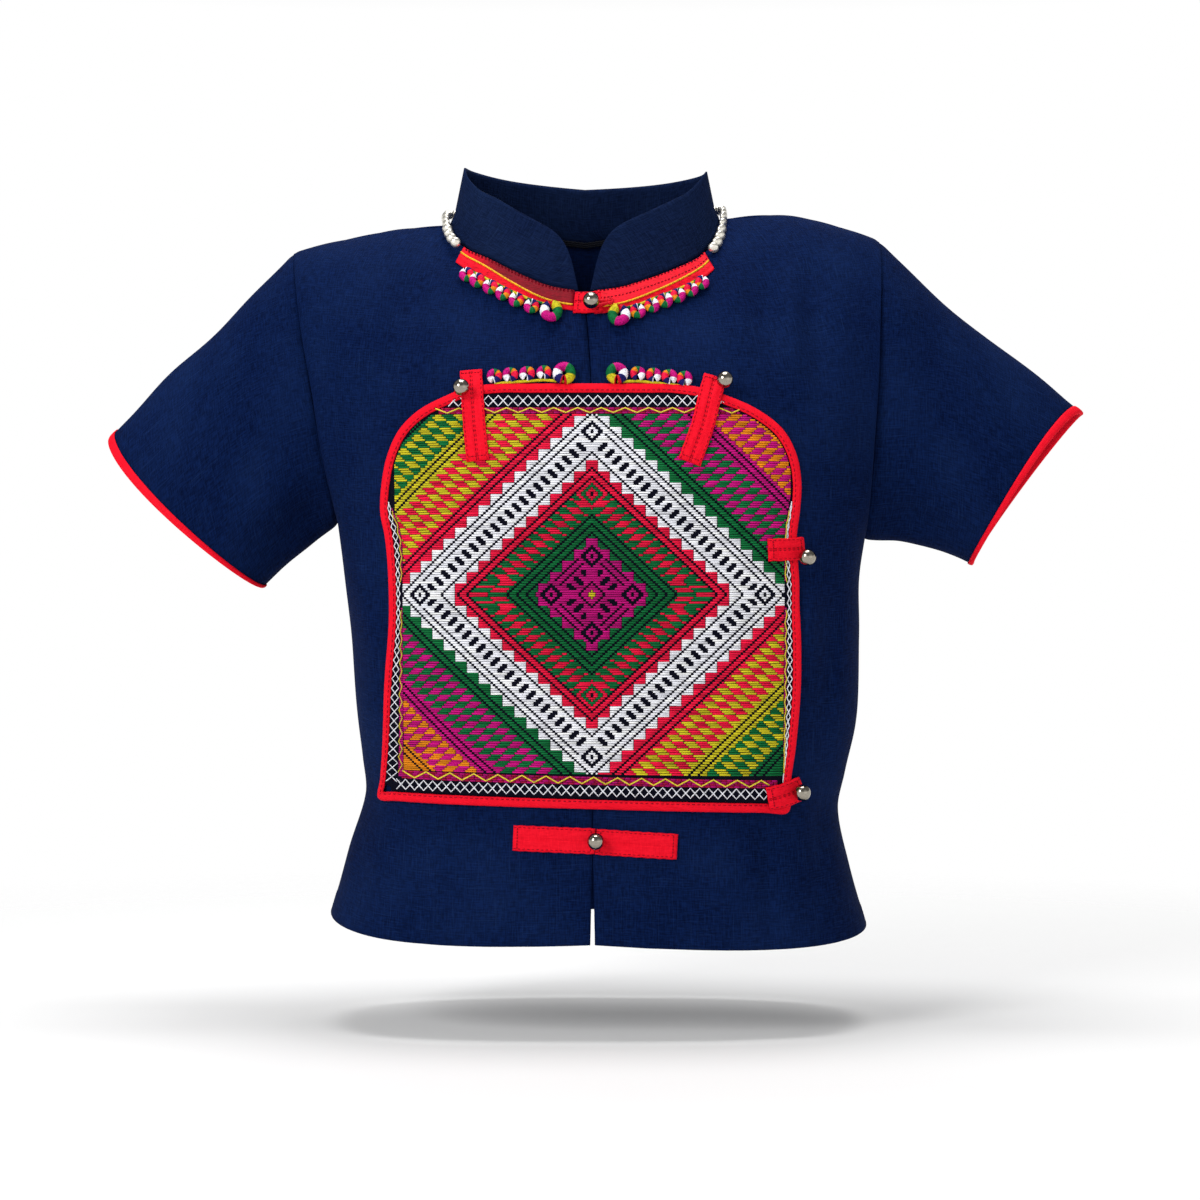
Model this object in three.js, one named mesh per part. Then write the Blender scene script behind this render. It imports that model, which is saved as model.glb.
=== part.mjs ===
// A short-sleeved embroidered top with a stand collar and a buttoned bib.
// Millimetres, +Z up. The origin lies between the two neck points of the shoulders, at their
// height. The front faces -Y, and left and right are as seen from the front.
import * as THREE from "three";

// ---- driving dimensions ----
const cloth = 1.5; // wall of the body cloth
const seamGap = 0.2; // each side of a seam draws back by this much
const loops = 20; // sections round a sleeve; half of them lie along each armhole half
const lowRows = 9; // rows of the body grid from hem to armpit
const shoulderColumns = 6; // columns of the body grid along each shoulder

// Level sections of the body below the arms: half-widths to each side of the opening line,
// and how far front and back stand from the shoulder plane.
const bodyLevels = [
  { height: -462, left: 171, right: 178.5, front: 112, back: 99 },
  { height: -423, left: 160, right: 168.5, front: 108, back: 95 },
  { height: -385, left: 149, right: 160.5, front: 104, back: 90 },
  { height: -360, left: 150.8, right: 165, front: 104, back: 89 },
  { height: -330, left: 153.7, right: 171.5, front: 106, back: 92 },
  { height: -300, left: 156.3, right: 174, front: 109, back: 96 },
  { height: -267, left: 158.8, right: 174.5, front: 112, back: 100 },
  { height: -234, left: 162.5, right: 174, front: 113, back: 102 },
  { height: -204, left: 167, right: 178, front: 111, back: 103 },
];
const frontFullness = 2.9; // exponent of the section: 2 is an ellipse, more is boxier
const backFullness = 2.5;
// Half the front opening, how much more it parts at the hem, and how high up that starts.
const frontSplit = { gap: 0.3, hem: 2.5, top: 0.2 };
const hem = { centre: -464, left: -450.5, right: -459, leftDip: 3, rightDip: 5.2 };
const armpit = { left: -199, centre: -204, right: -210 };
const shoulder = { left: { x: -197, z: -20.5 }, right: { x: 188.5, z: -12.8 } };
const shoulderArch = { left: 4, right: 9.5 };
const armholeDepth = { front: 52, back: 50 };

// The neckline, by the angle round the neck from centre front (0) to centre back (180).
const neck = { x: -5.5, y: -3, halfWidth: 87, halfDepth: 55, share: 1 / 3 };
const necklineHeights = [
  { angle: 0, left: -52, right: -52 },
  { angle: 15, left: -48, right: -49 },
  { angle: 30, left: -38.8, right: -42 },
  { angle: 45, left: -28.8, right: -34 },
  { angle: 60, left: -21.5, right: -25.5 },
  { angle: 75, left: -12, right: -12.5 },
  { angle: 90, left: -1.8, right: 1.5 },
  { angle: 110, left: 2, right: 4.5 },
  { angle: 145, left: -2, right: -1 },
  { angle: 180, left: -8, right: -8 },
];
const collarHeights = [
  { angle: 0, left: 38, right: 40 },
  { angle: 30, left: 39, right: 43 },
  { angle: 60, left: 39.5, right: 42.5 },
  { angle: 78, left: 39, right: 38 },
  { angle: 92, left: 37, right: 31 },
  { angle: 110, left: 34, right: 28 },
  { angle: 145, left: 34, right: 31 },
  { angle: 180, left: 36, right: 36 },
];
const neckAngles = { front: [0, 7, 15, 30, 45, 60, 75, 90], back: [0, 15, 30, 45, 60, 75, 90] };
const collar = {
  inward: 0.2, rise: 0.985, cornerWidth: 30, cornerLow: 6, cornerPower: 2.2,
  spread: 0.24, spreadReach: 12, opening: 3.6, wall: 2, seam: 0.8, rows: 3,
};
const collarCorner = [0, 0.6, 1.8, 4.5, 9, 16]; // columns from the front edge, then as the neckline

// Sleeve stations from the armhole (0) to the cuff (1): the top and low points of each ring,
// how far it stands to the front and back, and how far its front runs on past its plane.
const sleeveStations = {
  left: [
    { along: 0, topX: -197, topZ: -20.5, lowX: -167, lowZ: -199, front: 52, back: 50, swing: 0 },
    { along: 0.12, topX: -210, topZ: -33.5, lowX: -172, lowZ: -203, front: 51, back: 49, swing: 0 },
    { along: 0.4, topX: -241, topZ: -66, lowX: -184, lowZ: -211, front: 48, back: 46, swing: 2 },
    { along: 0.7, topX: -280, topZ: -102, lowX: -201, lowZ: -225, front: 45, back: 43, swing: 6 },
    { along: 1, topX: -317.5, topZ: -142, lowX: -218, lowZ: -241, front: 42, back: 40, swing: 9 },
  ],
  right: [
    { along: 0, topX: 188.5, topZ: -12.8, lowX: 178, lowZ: -210, front: 52, back: 50, swing: 0 },
    { along: 0.12, topX: 204, topZ: -28, lowX: 187, lowZ: -210.5, front: 51, back: 49, swing: 0 },
    { along: 0.4, topX: 236, topZ: -58.5, lowX: 204, lowZ: -210.5, front: 48, back: 46, swing: -2 },
    { along: 0.7, topX: 281, topZ: -92, lowX: 225, lowZ: -216, front: 45, back: 43, swing: -6.5 },
    { along: 1, topX: 323.5, topZ: -127, lowX: 251, lowZ: -226, front: 42, back: 40, swing: -10.5 },
  ],
};
const cuffBinding = { width: 5.6, proud: 0.6, wall: 2.7 };

// Soft folds of the cloth: a ridge (+) or trough (-) about a line from one point to another.
const bodyFolds = [
  { side: 1, fromX: 106, fromZ: -22, toX: 112, toZ: -90, width: 11, rise: -3.5 },
  { side: 1, fromX: 140, fromZ: -28, toX: 146, toZ: -120, width: 11, rise: -4 },
  { side: 1, fromX: 160, fromZ: -200, toX: 150, toZ: -330, width: 10, rise: 2.5 },
  { side: -1, fromX: -150, fromZ: -120, toX: -160, toZ: -195, width: 11, rise: -3 },
  { side: -1, fromX: -143, fromZ: -330, toX: -152, toZ: -452, width: 10, rise: -3 },
  { side: -1, fromX: -108, fromZ: -400, toX: -108, toZ: -470, width: 8, rise: -2 },
];

// The bib: its height and its left and right edges, from the top down.
const bibEdges = [
  { height: -114.5, left: -60, right: 50 },
  { height: -117, left: -79, right: 68 },
  { height: -122.5, left: -93, right: 85.5 },
  { height: -131, left: -109, right: 104 },
  { height: -143, left: -121, right: 119 },
  { height: -158, left: -128, right: 127 },
  { height: -175, left: -131.5, right: 130 },
  { height: -194, left: -132.5, right: 129 },
  { height: -210, left: -129.5, right: 127 },
  { height: -230, left: -127.5, right: 128 },
  { height: -262, left: -127, right: 130 },
  { height: -300, left: -130, right: 130 },
  { height: -340, left: -131.5, right: 127 },
  { height: -362, left: -133, right: 124 },
  { height: -380, left: -134.5, right: 122 },
];
const bibTop = [-40, -20, 0, 20, 36]; // where the top and bottom edges are cut into steps
const bibBottom = [108, 94, 79, 63, 46, 28, 10, -8, -26, -44, -62, -79, -95, -109, -122];
const bibTilt = 0.028; // the bottom edge drops to the right,
const bibBottomFrom = -370; // and so does all that is lower than this
const bib = { wall: 1.5, lift: 1.25, binding: 6, bindingWall: 2.4 };

// Folded straps: the line of each one's middle, its width and the height of each point's
// underside above the body cloth.
const strapWall = 1.8;
const straps = {
  panel_tab_top_left: {
    width: 14,
    line: [[-71, -163.5, 3.5], [-73.5, -141.5, 3.7], [-75.5, -118, 4.2], [-76.5, -105.5, 1.4]],
  },
  panel_tab_top_right: {
    width: 14.5,
    line: [[60, -164.5, 3.5], [68.5, -141.5, 3.7], [74, -120, 4.2], [77, -110, 2.6]],
  },
  panel_tab_side: { width: 14, line: [[108, -218.5, 4.3], [121, -218, 4.3], [131.5, -217, 2.6]] },
  panel_tab_corner: { width: 15, line: [[108.5, -374, 4.2], [120, -371.5, 4.2], [131, -367.5, 2.6]] },
  hem_strap_left: { width: 16, line: [[-49.5, -398, 0.7], [-24, -399, 0.7], [1.5, -400, 0.7]] },
  hem_strap_right: { width: 16, line: [[2, -400.2, 0.7], [28, -402, 0.7], [52.7, -403.5, 0.7]] },
  neck_loop: { width: 8, line: [[-16, -62.5, 2.7], [-6, -64, 2.7], [5, -62.5, 2.7]] },
};
const neckBand = { left: 11.3, right: 14, top: 1, from: 4, to: 63, wall: 1.6, lift: 0.7 };

// Ball buttons on short shanks: where each stands and how high its foot is above the cloth.
const button = { ball: 5.3, shank: 1.6, shankHeight: 1.4 };
const buttons = {
  button_neck: { x: -1, z: -66, lift: 4.9 },
  button_top_left: { x: -81, z: -121, lift: 6.3 },
  button_top_right: { x: 82, z: -116, lift: 5.4 },
  button_side: { x: 129, z: -222.5, lift: 5.3 },
  button_corner: { x: 125.5, z: -369, lift: 5.6 },
  button_hem: { x: 1.8, z: -400.3, lift: 2.8 },
};

// Coil trims: a cord with a row of small wrapped coils and one large coil at its end.
const coil = { small: 4.9, large: 7.1, thick: 0.5, cord: 1.3, lift: 0.45, swell: [-0.82, -0.45, 0.45, 0.82] };
const coilTrims = {
  coil_trim_neck_left: {
    line: [[-80.5, -42], [-73.5, -46], [-65, -50.8], [-57, -55.3], [-48.5, -59.8], [-39, -64.3]],
    large: [-26.5, -68],
  },
  coil_trim_neck_right: {
    line: [[70, -47.5], [62.5, -52.3], [54, -56.5], [45.7, -60], [37.5, -63.5], [28.5, -67.5]],
    large: [16.7, -70.5],
  },
  coil_trim_panel_left: {
    line: [[-61.5, -108.8], [-51.5, -108], [-41, -107.3], [-30.5, -106.6]],
    large: [-17.8, -107.6],
  },
  coil_trim_panel_right: {
    line: [[57.5, -110.5], [48, -109.3], [38.2, -108.2], [28.3, -107.3]],
    large: [15.2, -107.6],
  },
};
const silverBead = {
  pitch: 5.2, from: 66, to: 294, out: 4.6, up: 4.5,
  swell: [[0.06, 1.1], [0.3, 2.9], [0.7, 2.9]], // share of the pitch, and radius there
};

// ---- small tools ----
const lerp = THREE.MathUtils.lerp;
const vec = (x, y, z) => new THREE.Vector3(x, y, z);
const radians = THREE.MathUtils.degToRad;
const sideKey = (side) => (side < 0 ? "left" : "right");

// A value of a table's column between its rows, on a smooth curve through them.
function readTable(rows, column, value, at) {
  const rising = rows[1][column] > rows[0][column];
  let i = 0;
  while (i < rows.length - 2 && (rising ? at > rows[i + 1][column] : at < rows[i + 1][column])) i++;
  const [a, b] = [rows[i], rows[i + 1]];
  const before = rows[i - 1] ?? a;
  const after = rows[i + 2] ?? b;
  const span = b[column] - a[column];
  const t = THREE.MathUtils.clamp((at - a[column]) / span, 0, 1);
  const slopeIn = ((b[value] - before[value]) / (b[column] - before[column])) * span;
  const slopeOut = ((after[value] - a[value]) / (after[column] - a[column])) * span;
  const [t2, t3] = [t * t, t * t * t];
  return a[value] * (2 * t3 - 3 * t2 + 1) + slopeIn * (t3 - 2 * t2 + t)
    + b[value] * (3 * t2 - 2 * t3) + slopeOut * (t3 - t2);
}

// ---- the body surface ----
// across runs 0 to 1 from the centre line to the side seam and armhole; up runs 0 to 1 from
// the hem to the armpit, and on to 2 at the neckline and shoulder seam. face is -1 or +1.
function necklinePoint(degrees) {
  const a = radians(degrees);
  const turn = Math.abs(degrees > 180 ? 360 - degrees : degrees);
  const out = neck.halfWidth * Math.sin(a);
  return vec(
    neck.x + out,
    neck.y - neck.halfDepth * Math.cos(a),
    readTable(necklineHeights, "angle", out < 0 ? "left" : "right", turn),
  );
}

function sleevePoint(side, along, turn) {
  const rows = sleeveStations[sideKey(side)];
  const read = (column) => readTable(rows, "along", column, along);
  const share = (1 - Math.cos(turn)) / 2;
  const reach = Math.sin(turn) > 0 ? read("front") : read("back");
  const across = vec(read("topX") - read("lowX"), 0, read("topZ") - read("lowZ")).normalize();
  const onward = read("swing") * Math.max(Math.sin(turn), 0) * (1 - 0.3 * Math.cos(turn));
  return vec(
    lerp(read("lowX"), read("topX"), share) + side * across.z * onward,
    -reach * Math.sin(turn),
    lerp(read("lowZ"), read("topZ"), share) - side * across.x * onward,
  );
}

function lowerPoint(side, face, across, up) {
  const key = sideKey(side);
  const hemZ = lerp(hem.centre, hem[key], across * across) - hem[key + "Dip"] * Math.sin(Math.PI * across);
  const topZ = lerp(armpit.centre, armpit[key], across * across);
  const level = lerp(bodyLevels[0].height, bodyLevels.at(-1).height, up);
  const fullness = face < 0 ? frontFullness : backFullness;
  const depth = readTable(bodyLevels, "height", face < 0 ? "front" : "back", level);
  const out = Math.sin((across * Math.PI) / 2);
  return vec(
    side * readTable(bodyLevels, "height", key, level) * out,
    face * depth * Math.max(1 - out ** fullness, 0) ** (1 / fullness),
    lerp(hemZ, topZ, up),
  );
}

function topPoint(side, face, across) {
  if (across <= neck.share) {
    const turn = 90 * (across / neck.share);
    const fromFront = face < 0 ? turn : 180 - turn;
    return necklinePoint(side > 0 ? fromFront : 360 - fromFront);
  }
  const start = necklinePoint(side > 0 ? 90 : 270);
  const end = shoulder[sideKey(side)];
  const startOut = Math.sin((neck.share * Math.PI) / 2);
  const share = (Math.sin((across * Math.PI) / 2) - startOut) / (1 - startOut);
  return vec(
    lerp(start.x, end.x, share),
    lerp(start.y, 0, share),
    lerp(start.z, end.z, share) + shoulderArch[sideKey(side)] * Math.sin(Math.PI * share),
  );
}

// The top curve with its corner at the neck point worn round, more so lower down the cloth.
function softTopPoint(side, face, across, blur) {
  const reach = Math.min(blur, 1 - across);
  const sum = vec(0, 0, 0);
  const samples = 4;
  for (let k = -samples; k <= samples; k++) {
    const at = across + (reach * k) / samples;
    const point = topPoint(side, face, Math.abs(at));
    if (at < 0) point.x = 2 * neck.x - point.x;
    sum.add(point);
  }
  return sum.divideScalar(2 * samples + 1);
}

function foldRise(side, x, z) {
  let rise = 0;
  for (const fold of bodyFolds.filter((row) => row.side === side)) {
    const run = vec(fold.toX - fold.fromX, 0, fold.toZ - fold.fromZ);
    const from = vec(x - fold.fromX, 0, z - fold.fromZ);
    const share = THREE.MathUtils.clamp(from.dot(run) / run.lengthSq(), 0, 1);
    const aside = from.addScaledVector(run, -share).length() / fold.width;
    const ends = Math.sin(Math.PI * (share * 0.8 + 0.1));
    rise += fold.rise * ends * Math.exp(-aside * aside);
  }
  return rise;
}

function bodyPoint(side, face, across, up) {
  let p;
  if (up <= 1) {
    p = lowerPoint(side, face, across, up);
  } else {
    const s = up - 1;
    const low = lowerPoint(side, face, across, 1);
    const top = softTopPoint(side, face, across, 0.3 * (1 - s));
    const nearArm = across ** 5;
    const round = lerp(0.25, 0.95, THREE.MathUtils.smoothstep(across, 0.15, 0.8));
    const rising = lerp(s, Math.sin((s * Math.PI) / 2), round);
    const share = lerp(rising, (1 - Math.cos(Math.PI * s)) / 2, nearArm);
    const inward = 1 - Math.cos((s * Math.PI) / 2);
    const armDepth = face < 0 ? armholeDepth.front : armholeDepth.back;
    p = vec(
      lerp(low.x, top.x, share) - neck.x * 0.4 * (1 - across) * Math.sin(Math.PI * share),
      lerp(low.y, top.y, inward) + face * armDepth * nearArm * Math.sin(Math.PI * s),
      lerp(low.z, top.z, share),
    );
  }
  const edge = Math.min(across, 1 - across) * 8;
  if (face < 0) p.y -= foldRise(side, p.x, p.z) * THREE.MathUtils.clamp(edge, 0, 1);
  return p;
}

function surfaceNormal(point, a, b, outwardFrom) {
  const step = 0.004;
  const here = point(a, b);
  const da = point(Math.min(a + step, 1), b).sub(point(Math.max(a - step, 0), b));
  const db = point(a, b + step).sub(point(a, b - step));
  const normal = da.cross(db).normalize();
  return normal.dot(here.clone().sub(outwardFrom)) < 0 ? normal.negate() : normal;
}

const bodyCore = (z) => vec(0, 0, Math.min(z - 20, -110));

function bodyNormal(side, face, across, up) {
  const at = (a, b) => bodyPoint(side, face, a, Math.min(Math.max(b, 0), 2));
  const a = THREE.MathUtils.clamp(across, 0.01, 0.985);
  const b = THREE.MathUtils.clamp(up, 0.01, 1.98);
  return surfaceNormal(at, a, b, bodyCore(at(a, b).z));
}

// The point of the front at a given x and z, found by a few corrected steps.
function frontAt(x, z, height = 0) {
  const side = x < 0 ? -1 : 1;
  const reach = side < 0 ? 160 : 175;
  let across = (Math.asin(Math.min(Math.abs(x) / reach, 0.99)) * 2) / Math.PI;
  let up = (z - hem.centre) / (armpit.centre - hem.centre);
  if (up > 1) up = 1 + (z - armpit.centre) / 170;
  const step = 1e-3;
  for (let i = 0; i < 12; i++) {
    const here = bodyPoint(side, -1, across, up);
    const da = bodyPoint(side, -1, across + step, up).sub(here).divideScalar(step);
    const du = bodyPoint(side, -1, across, up + step).sub(here).divideScalar(step);
    const [ex, ez] = [x - here.x, z - here.z];
    const det = da.x * du.z - da.z * du.x;
    across = THREE.MathUtils.clamp(across + (ex * du.z - ez * du.x) / det, 0, 0.99);
    up = THREE.MathUtils.clamp(up + (da.x * ez - da.z * ex) / det, 0, 1.995);
  }
  const point = bodyPoint(side, -1, across, up);
  const normal = bodyNormal(side, -1, across, up);
  return { point: point.clone().addScaledVector(normal, height), normal };
}

// ---- walls and tubes ----
function closedGeometry(points, faces) {
  const positions = [];
  for (const face of faces) for (const corner of face) positions.push(...points[corner].toArray());
  let volume = 0;
  for (const [a, b, c] of faces) {
    volume += points[a].dot(points[b].clone().cross(points[c]));
  }
  if (volume < 0) {
    for (let i = 0; i < positions.length; i += 9) {
      const second = positions.slice(i + 3, i + 6);
      positions.splice(i + 3, 3, ...positions.slice(i + 6, i + 9));
      positions.splice(i + 6, 3, ...second);
    }
  }
  const geometry = new THREE.BufferGeometry();
  geometry.setAttribute("position", new THREE.Float32BufferAttribute(positions, 3));
  geometry.computeVertexNormals();
  return geometry;
}

// A closed wall between a grid of outer points and the same grid moved inwards.
function wallGeometry(outer, inner, ring = false) {
  const [rows, columns] = [outer.length, outer[0].length];
  const points = [...outer.flat(), ...inner.flat()];
  const at = (layer, i, j) => layer * rows * columns + i * columns + (j % columns);
  const faces = [];
  const quad = (a, b, c, d) => faces.push([a, b, c], [a, c, d]);
  const spans = ring ? columns : columns - 1;
  for (let i = 0; i < rows - 1; i++) {
    for (let j = 0; j < spans; j++) {
      quad(at(0, i, j), at(0, i, j + 1), at(0, i + 1, j + 1), at(0, i + 1, j));
      quad(at(1, i, j), at(1, i + 1, j), at(1, i + 1, j + 1), at(1, i, j + 1));
    }
  }
  for (let j = 0; j < spans; j++) {
    quad(at(0, 0, j + 1), at(0, 0, j), at(1, 0, j), at(1, 0, j + 1));
    const last = rows - 1;
    quad(at(0, last, j), at(0, last, j + 1), at(1, last, j + 1), at(1, last, j));
  }
  if (!ring) {
    for (let i = 0; i < rows - 1; i++) {
      quad(at(0, i, 0), at(0, i + 1, 0), at(1, i + 1, 0), at(1, i, 0));
      const last = columns - 1;
      quad(at(0, i + 1, last), at(0, i, last), at(1, i, last), at(1, i + 1, last));
    }
  }
  return closedGeometry(points, faces);
}

// Rings of equal size joined into one closed body, with a cap on each end unless it is a loop.
function ringsGeometry(rings, isLoop = false) {
  const sides = rings[0].length;
  const points = rings.flat();
  const at = (i, j) => (i % rings.length) * sides + (j % sides);
  const faces = [];
  const spans = isLoop ? rings.length : rings.length - 1;
  for (let i = 0; i < spans; i++) {
    for (let j = 0; j < sides; j++) {
      faces.push([at(i, j), at(i, j + 1), at(i + 1, j + 1)]);
      faces.push([at(i, j), at(i + 1, j + 1), at(i + 1, j)]);
    }
  }
  if (!isLoop) {
    for (let j = 1; j < sides - 1; j++) {
      faces.push([at(0, 0), at(0, j + 1), at(0, j)]);
      faces.push([at(rings.length - 1, 0), at(rings.length - 1, j), at(rings.length - 1, j + 1)]);
    }
  }
  return closedGeometry(points, faces);
}

const drawBack = (edge, within, amount) =>
  edge.add(within.clone().sub(edge).setLength(amount));

// ---- seams: the direction in which both pieces' walls thicken along each one ----
function armholeInward(side, turn) {
  const middle = sleevePoint(side, 0, 0).lerp(sleevePoint(side, 0, Math.PI), 0.5);
  const toMiddle = middle.sub(sleevePoint(side, 0, turn)).normalize();
  return toMiddle.add(vec(-side * 0.9, 0, 0)).normalize();
}

function necklineInward(degrees) {
  const a = radians(degrees);
  return vec(-Math.sin(a), Math.cos(a), -1.1).normalize();
}

// ---- pieces of the body ----
function acrossStops(face) {
  const angles = face < 0 ? neckAngles.front : neckAngles.back;
  const stops = angles.map((angle) => (angle / 90) * neck.share);
  for (let k = 1; k <= shoulderColumns; k++) stops.push(lerp(neck.share, 1, k / shoulderColumns));
  return stops;
}

function bodyGrid(side, face, lowRows, highRows, centreGap) {
  const stops = acrossStops(face);
  const outer = [];
  const inner = [];
  for (let i = 0; i <= lowRows + highRows; i++) {
    const up = i <= lowRows ? i / lowRows : 1 + (i - lowRows) / highRows;
    const row = [];
    const within = [];
    for (const [j, across] of stops.entries()) {
      const point = bodyPoint(side, face, across, up);
      let inward = bodyNormal(side, face, across, up).negate();
      const atTop = i === lowRows + highRows;
      if (atTop && across > neck.share) inward = vec(0, 0, -1);
      if (atTop && across <= neck.share) {
        const turn = 90 * (across / neck.share);
        const fromFront = face < 0 ? turn : 180 - turn;
        inward = necklineInward(side > 0 ? fromFront : 360 - fromFront);
      }
      if (j === stops.length - 1) {
        inward = up < 1 ? vec(-side, 0, 0) : armholeInward(side, (up - 1) * Math.PI * -face);
      }
      if (j === 0) {
        point.x += side * centreGap(up);
        if (!atTop) inward.setX(0).normalize();
      }
      row.push(point);
      within.push(inward);
    }
    outer.push(row);
    inner.push(within);
  }
  const last = outer.length - 1;
  const edge = stops.length - 1;
  outer.forEach((row) => drawBack(row[edge], row[edge - 1], seamGap));
  outer[last].forEach((point, j) => drawBack(point, outer[last - 1][j], seamGap));
  return { outer, inner };
}

const thicken = ({ outer, inner }, wall) =>
  outer.map((row, i) => row.map((p, j) => p.clone().addScaledVector(inner[i][j], wall)));

const frontGap = (up) =>
  frontSplit.gap + frontSplit.hem * THREE.MathUtils.smoothstep(frontSplit.top - up, 0, frontSplit.top);

function frontPiece(side) {
  const grid = bodyGrid(side, -1, lowRows, loops / 2, frontGap);
  return wallGeometry(grid.outer, thicken(grid, cloth));
}

function backPiece() {
  const noGap = () => 0;
  const left = bodyGrid(-1, 1, lowRows, loops / 2, noGap);
  const right = bodyGrid(1, 1, lowRows, loops / 2, noGap);
  const join = (key) => left[key].map((row, i) => [...row.toReversed(), ...right[key][i].slice(1)]);
  const grid = { outer: join("outer"), inner: join("inner") };
  return wallGeometry(grid.outer, thicken(grid, cloth));
}

function sleeveRows(side, stops, proud, wall) {
  const outer = [];
  const inner = [];
  for (const along of stops) {
    const ring = [];
    const within = [];
    for (let j = 0; j < loops; j++) {
      const turn = (j / loops) * 2 * Math.PI;
      const middle = sleevePoint(side, along, 0).lerp(sleevePoint(side, along, Math.PI), 0.5);
      const at = (a, b) => sleevePoint(side, THREE.MathUtils.clamp(b, 0, 1), a * 2 * Math.PI);
      const share = THREE.MathUtils.clamp(j / loops, 0.004, 0.996);
      const inward = along === 0
        ? armholeInward(side, turn)
        : surfaceNormal(at, share, Math.min(along, 0.99), middle).negate();
      ring.push(sleevePoint(side, along, turn).addScaledVector(inward, -proud));
      within.push(inward);
    }
    outer.push(ring);
    inner.push(within);
  }
  return { outer, inner: thicken({ outer, inner }, wall) };
}

function sleeveLength(side) {
  return sleevePoint(side, 0, Math.PI).distanceTo(sleevePoint(side, 1, Math.PI));
}

function sleevePiece(side) {
  const clothEnd = 1 - (cuffBinding.width + 0.4) / sleeveLength(side);
  const stops = [0, 0.08, 0.16, 0.3, 0.48, 0.66, 0.84, clothEnd];
  const grid = sleeveRows(side, stops, 0, cloth);
  grid.outer[0].forEach((point, j) => {
    const onward = grid.outer[1][j].clone().sub(point).setLength(seamGap);
    point.add(onward);
    grid.inner[0][j].add(onward);
  });
  return wallGeometry(grid.outer, grid.inner, true);
}

function cuffBindingPiece(side) {
  const start = 1 - cuffBinding.width / sleeveLength(side);
  const grid = sleeveRows(side, [start, (start + 1) / 2, 1], cuffBinding.proud, cuffBinding.wall);
  return wallGeometry(grid.outer, grid.inner, true);
}

// ---- collar ----
// The height left standing at a distance from the front edge, round the front corner.
function collarHeight(fromEdge, whole) {
  const x = THREE.MathUtils.clamp(fromEdge / collar.cornerWidth, 0, 1);
  const full = whole - collar.cornerLow;
  return collar.cornerLow + full * (1 - (1 - x) ** collar.cornerPower) ** (1 / collar.cornerPower);
}

function collarPoint(degrees, height) {
  const base = necklinePoint(degrees);
  const a = radians(degrees);
  const outward = vec(Math.sin(a), -Math.cos(a), 0);
  return base.addScaledVector(outward, -collar.inward * height).add(vec(0, 0, collar.rise * height));
}

function collarPiece() {
  const degreesPerMm = 360 / (Math.PI * (neck.halfWidth + neck.halfDepth));
  const first = collar.opening * degreesPerMm;
  const corner = collarCorner.map((mm) => first + mm * degreesPerMm);
  const front = neckAngles.front.filter((angle) => angle > corner.at(-1) + 3);
  const columns = [...corner, ...front, ...neckAngles.back.slice(1).map((a) => a + 90)];
  const round = [...columns, ...columns.slice(0, -1).toReversed().map((d) => 360 - d)];
  const outer = [];
  const inner = [];
  for (let i = 0; i <= collar.rows; i++) {
    const row = [];
    const within = [];
    for (const degrees of round) {
      const turn = Math.min(degrees, 360 - degrees);
      const fromEdge = (turn - first) / degreesPerMm;
      const whole = readTable(collarHeights, "angle", degrees > 180 ? "left" : "right", turn);
      const height = (collarHeight(fromEdge, whole) * i) / collar.rows;
      const aside = collar.spread * height * Math.exp(-fromEdge / collar.spreadReach);
      const spread = degrees < 180 ? aside : -aside;
      const point = collarPoint(degrees + spread * degreesPerMm, height);
      const a = radians(degrees);
      row.push(point.add(vec(0, 0, i === 0 ? collar.seam : 0)));
      within.push(i === 0 ? necklineInward(degrees) : vec(-Math.sin(a), Math.cos(a), 0));
    }
    outer.push(row);
    inner.push(within);
  }
  inner[0].forEach((dir, j) => dir.lerp(inner[1][j], 0.5).normalize());
  return wallGeometry(outer, thicken({ outer, inner }, collar.wall));
}

// ---- what lies on the fronts ----
function frontPatch(grid2d, lift, wall) {
  const outer = grid2d.map((row) => row.map(([x, z]) => frontAt(x, z, lift + wall).point));
  const inner = grid2d.map((row) => row.map(([x, z]) => frontAt(x, z, lift).point));
  return wallGeometry(outer, inner);
}

// The outer edge of the bib as points in x and z, clockwise from the middle of the top.
function bibOutline() {
  const right = bibEdges.map((row) => [row.right, row.height]);
  const left = bibEdges.map((row) => [row.left, row.height]).toReversed();
  const tilted = ([x, z]) => [x, z < bibBottomFrom ? z - bibTilt * x : z];
  const bottom = bibBottom.map((x) => [x, bibEdges.at(-1).height]);
  const top = bibTop.map((x) => [x, bibEdges[0].height]);
  return [...top, ...right, ...bottom, ...left].map(tilted);
}

// The outline moved inwards by an amount measured along the cloth.
function insetOutline(outline, amount) {
  const count = outline.length;
  return outline.map(([x, z], i) => {
    const [ax, az] = outline[(i + count - 1) % count];
    const [bx, bz] = outline[(i + 1) % count];
    const before = new THREE.Vector2(x - ax, z - az).normalize();
    const after = new THREE.Vector2(bx - x, bz - z).normalize();
    const mean = before.clone().add(after).normalize();
    const reach = amount / Math.max(mean.dot(before), 0.5);
    const { normal } = frontAt(x, z);
    const level = -normal.y / Math.hypot(normal.x, normal.y);
    return [x + mean.y * reach * level, z - mean.x * reach];
  });
}

// The cloth of the bib fills its binding: each row runs between two facing outline points.
function bibPiece() {
  const outline = insetOutline(bibOutline(), bib.binding + 0.4);
  const columns = 12;
  const grid = bibEdges.map((_, i) => {
    const right = outline[bibTop.length + i];
    const left = outline[outline.length - 1 - i];
    const along = (k) => left.map((v, c) => lerp(v, right[c], k / columns));
    return Array.from({ length: columns + 1 }, (_, k) => along(k));
  });
  return frontPatch(grid, bib.lift, bib.wall);
}

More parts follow.
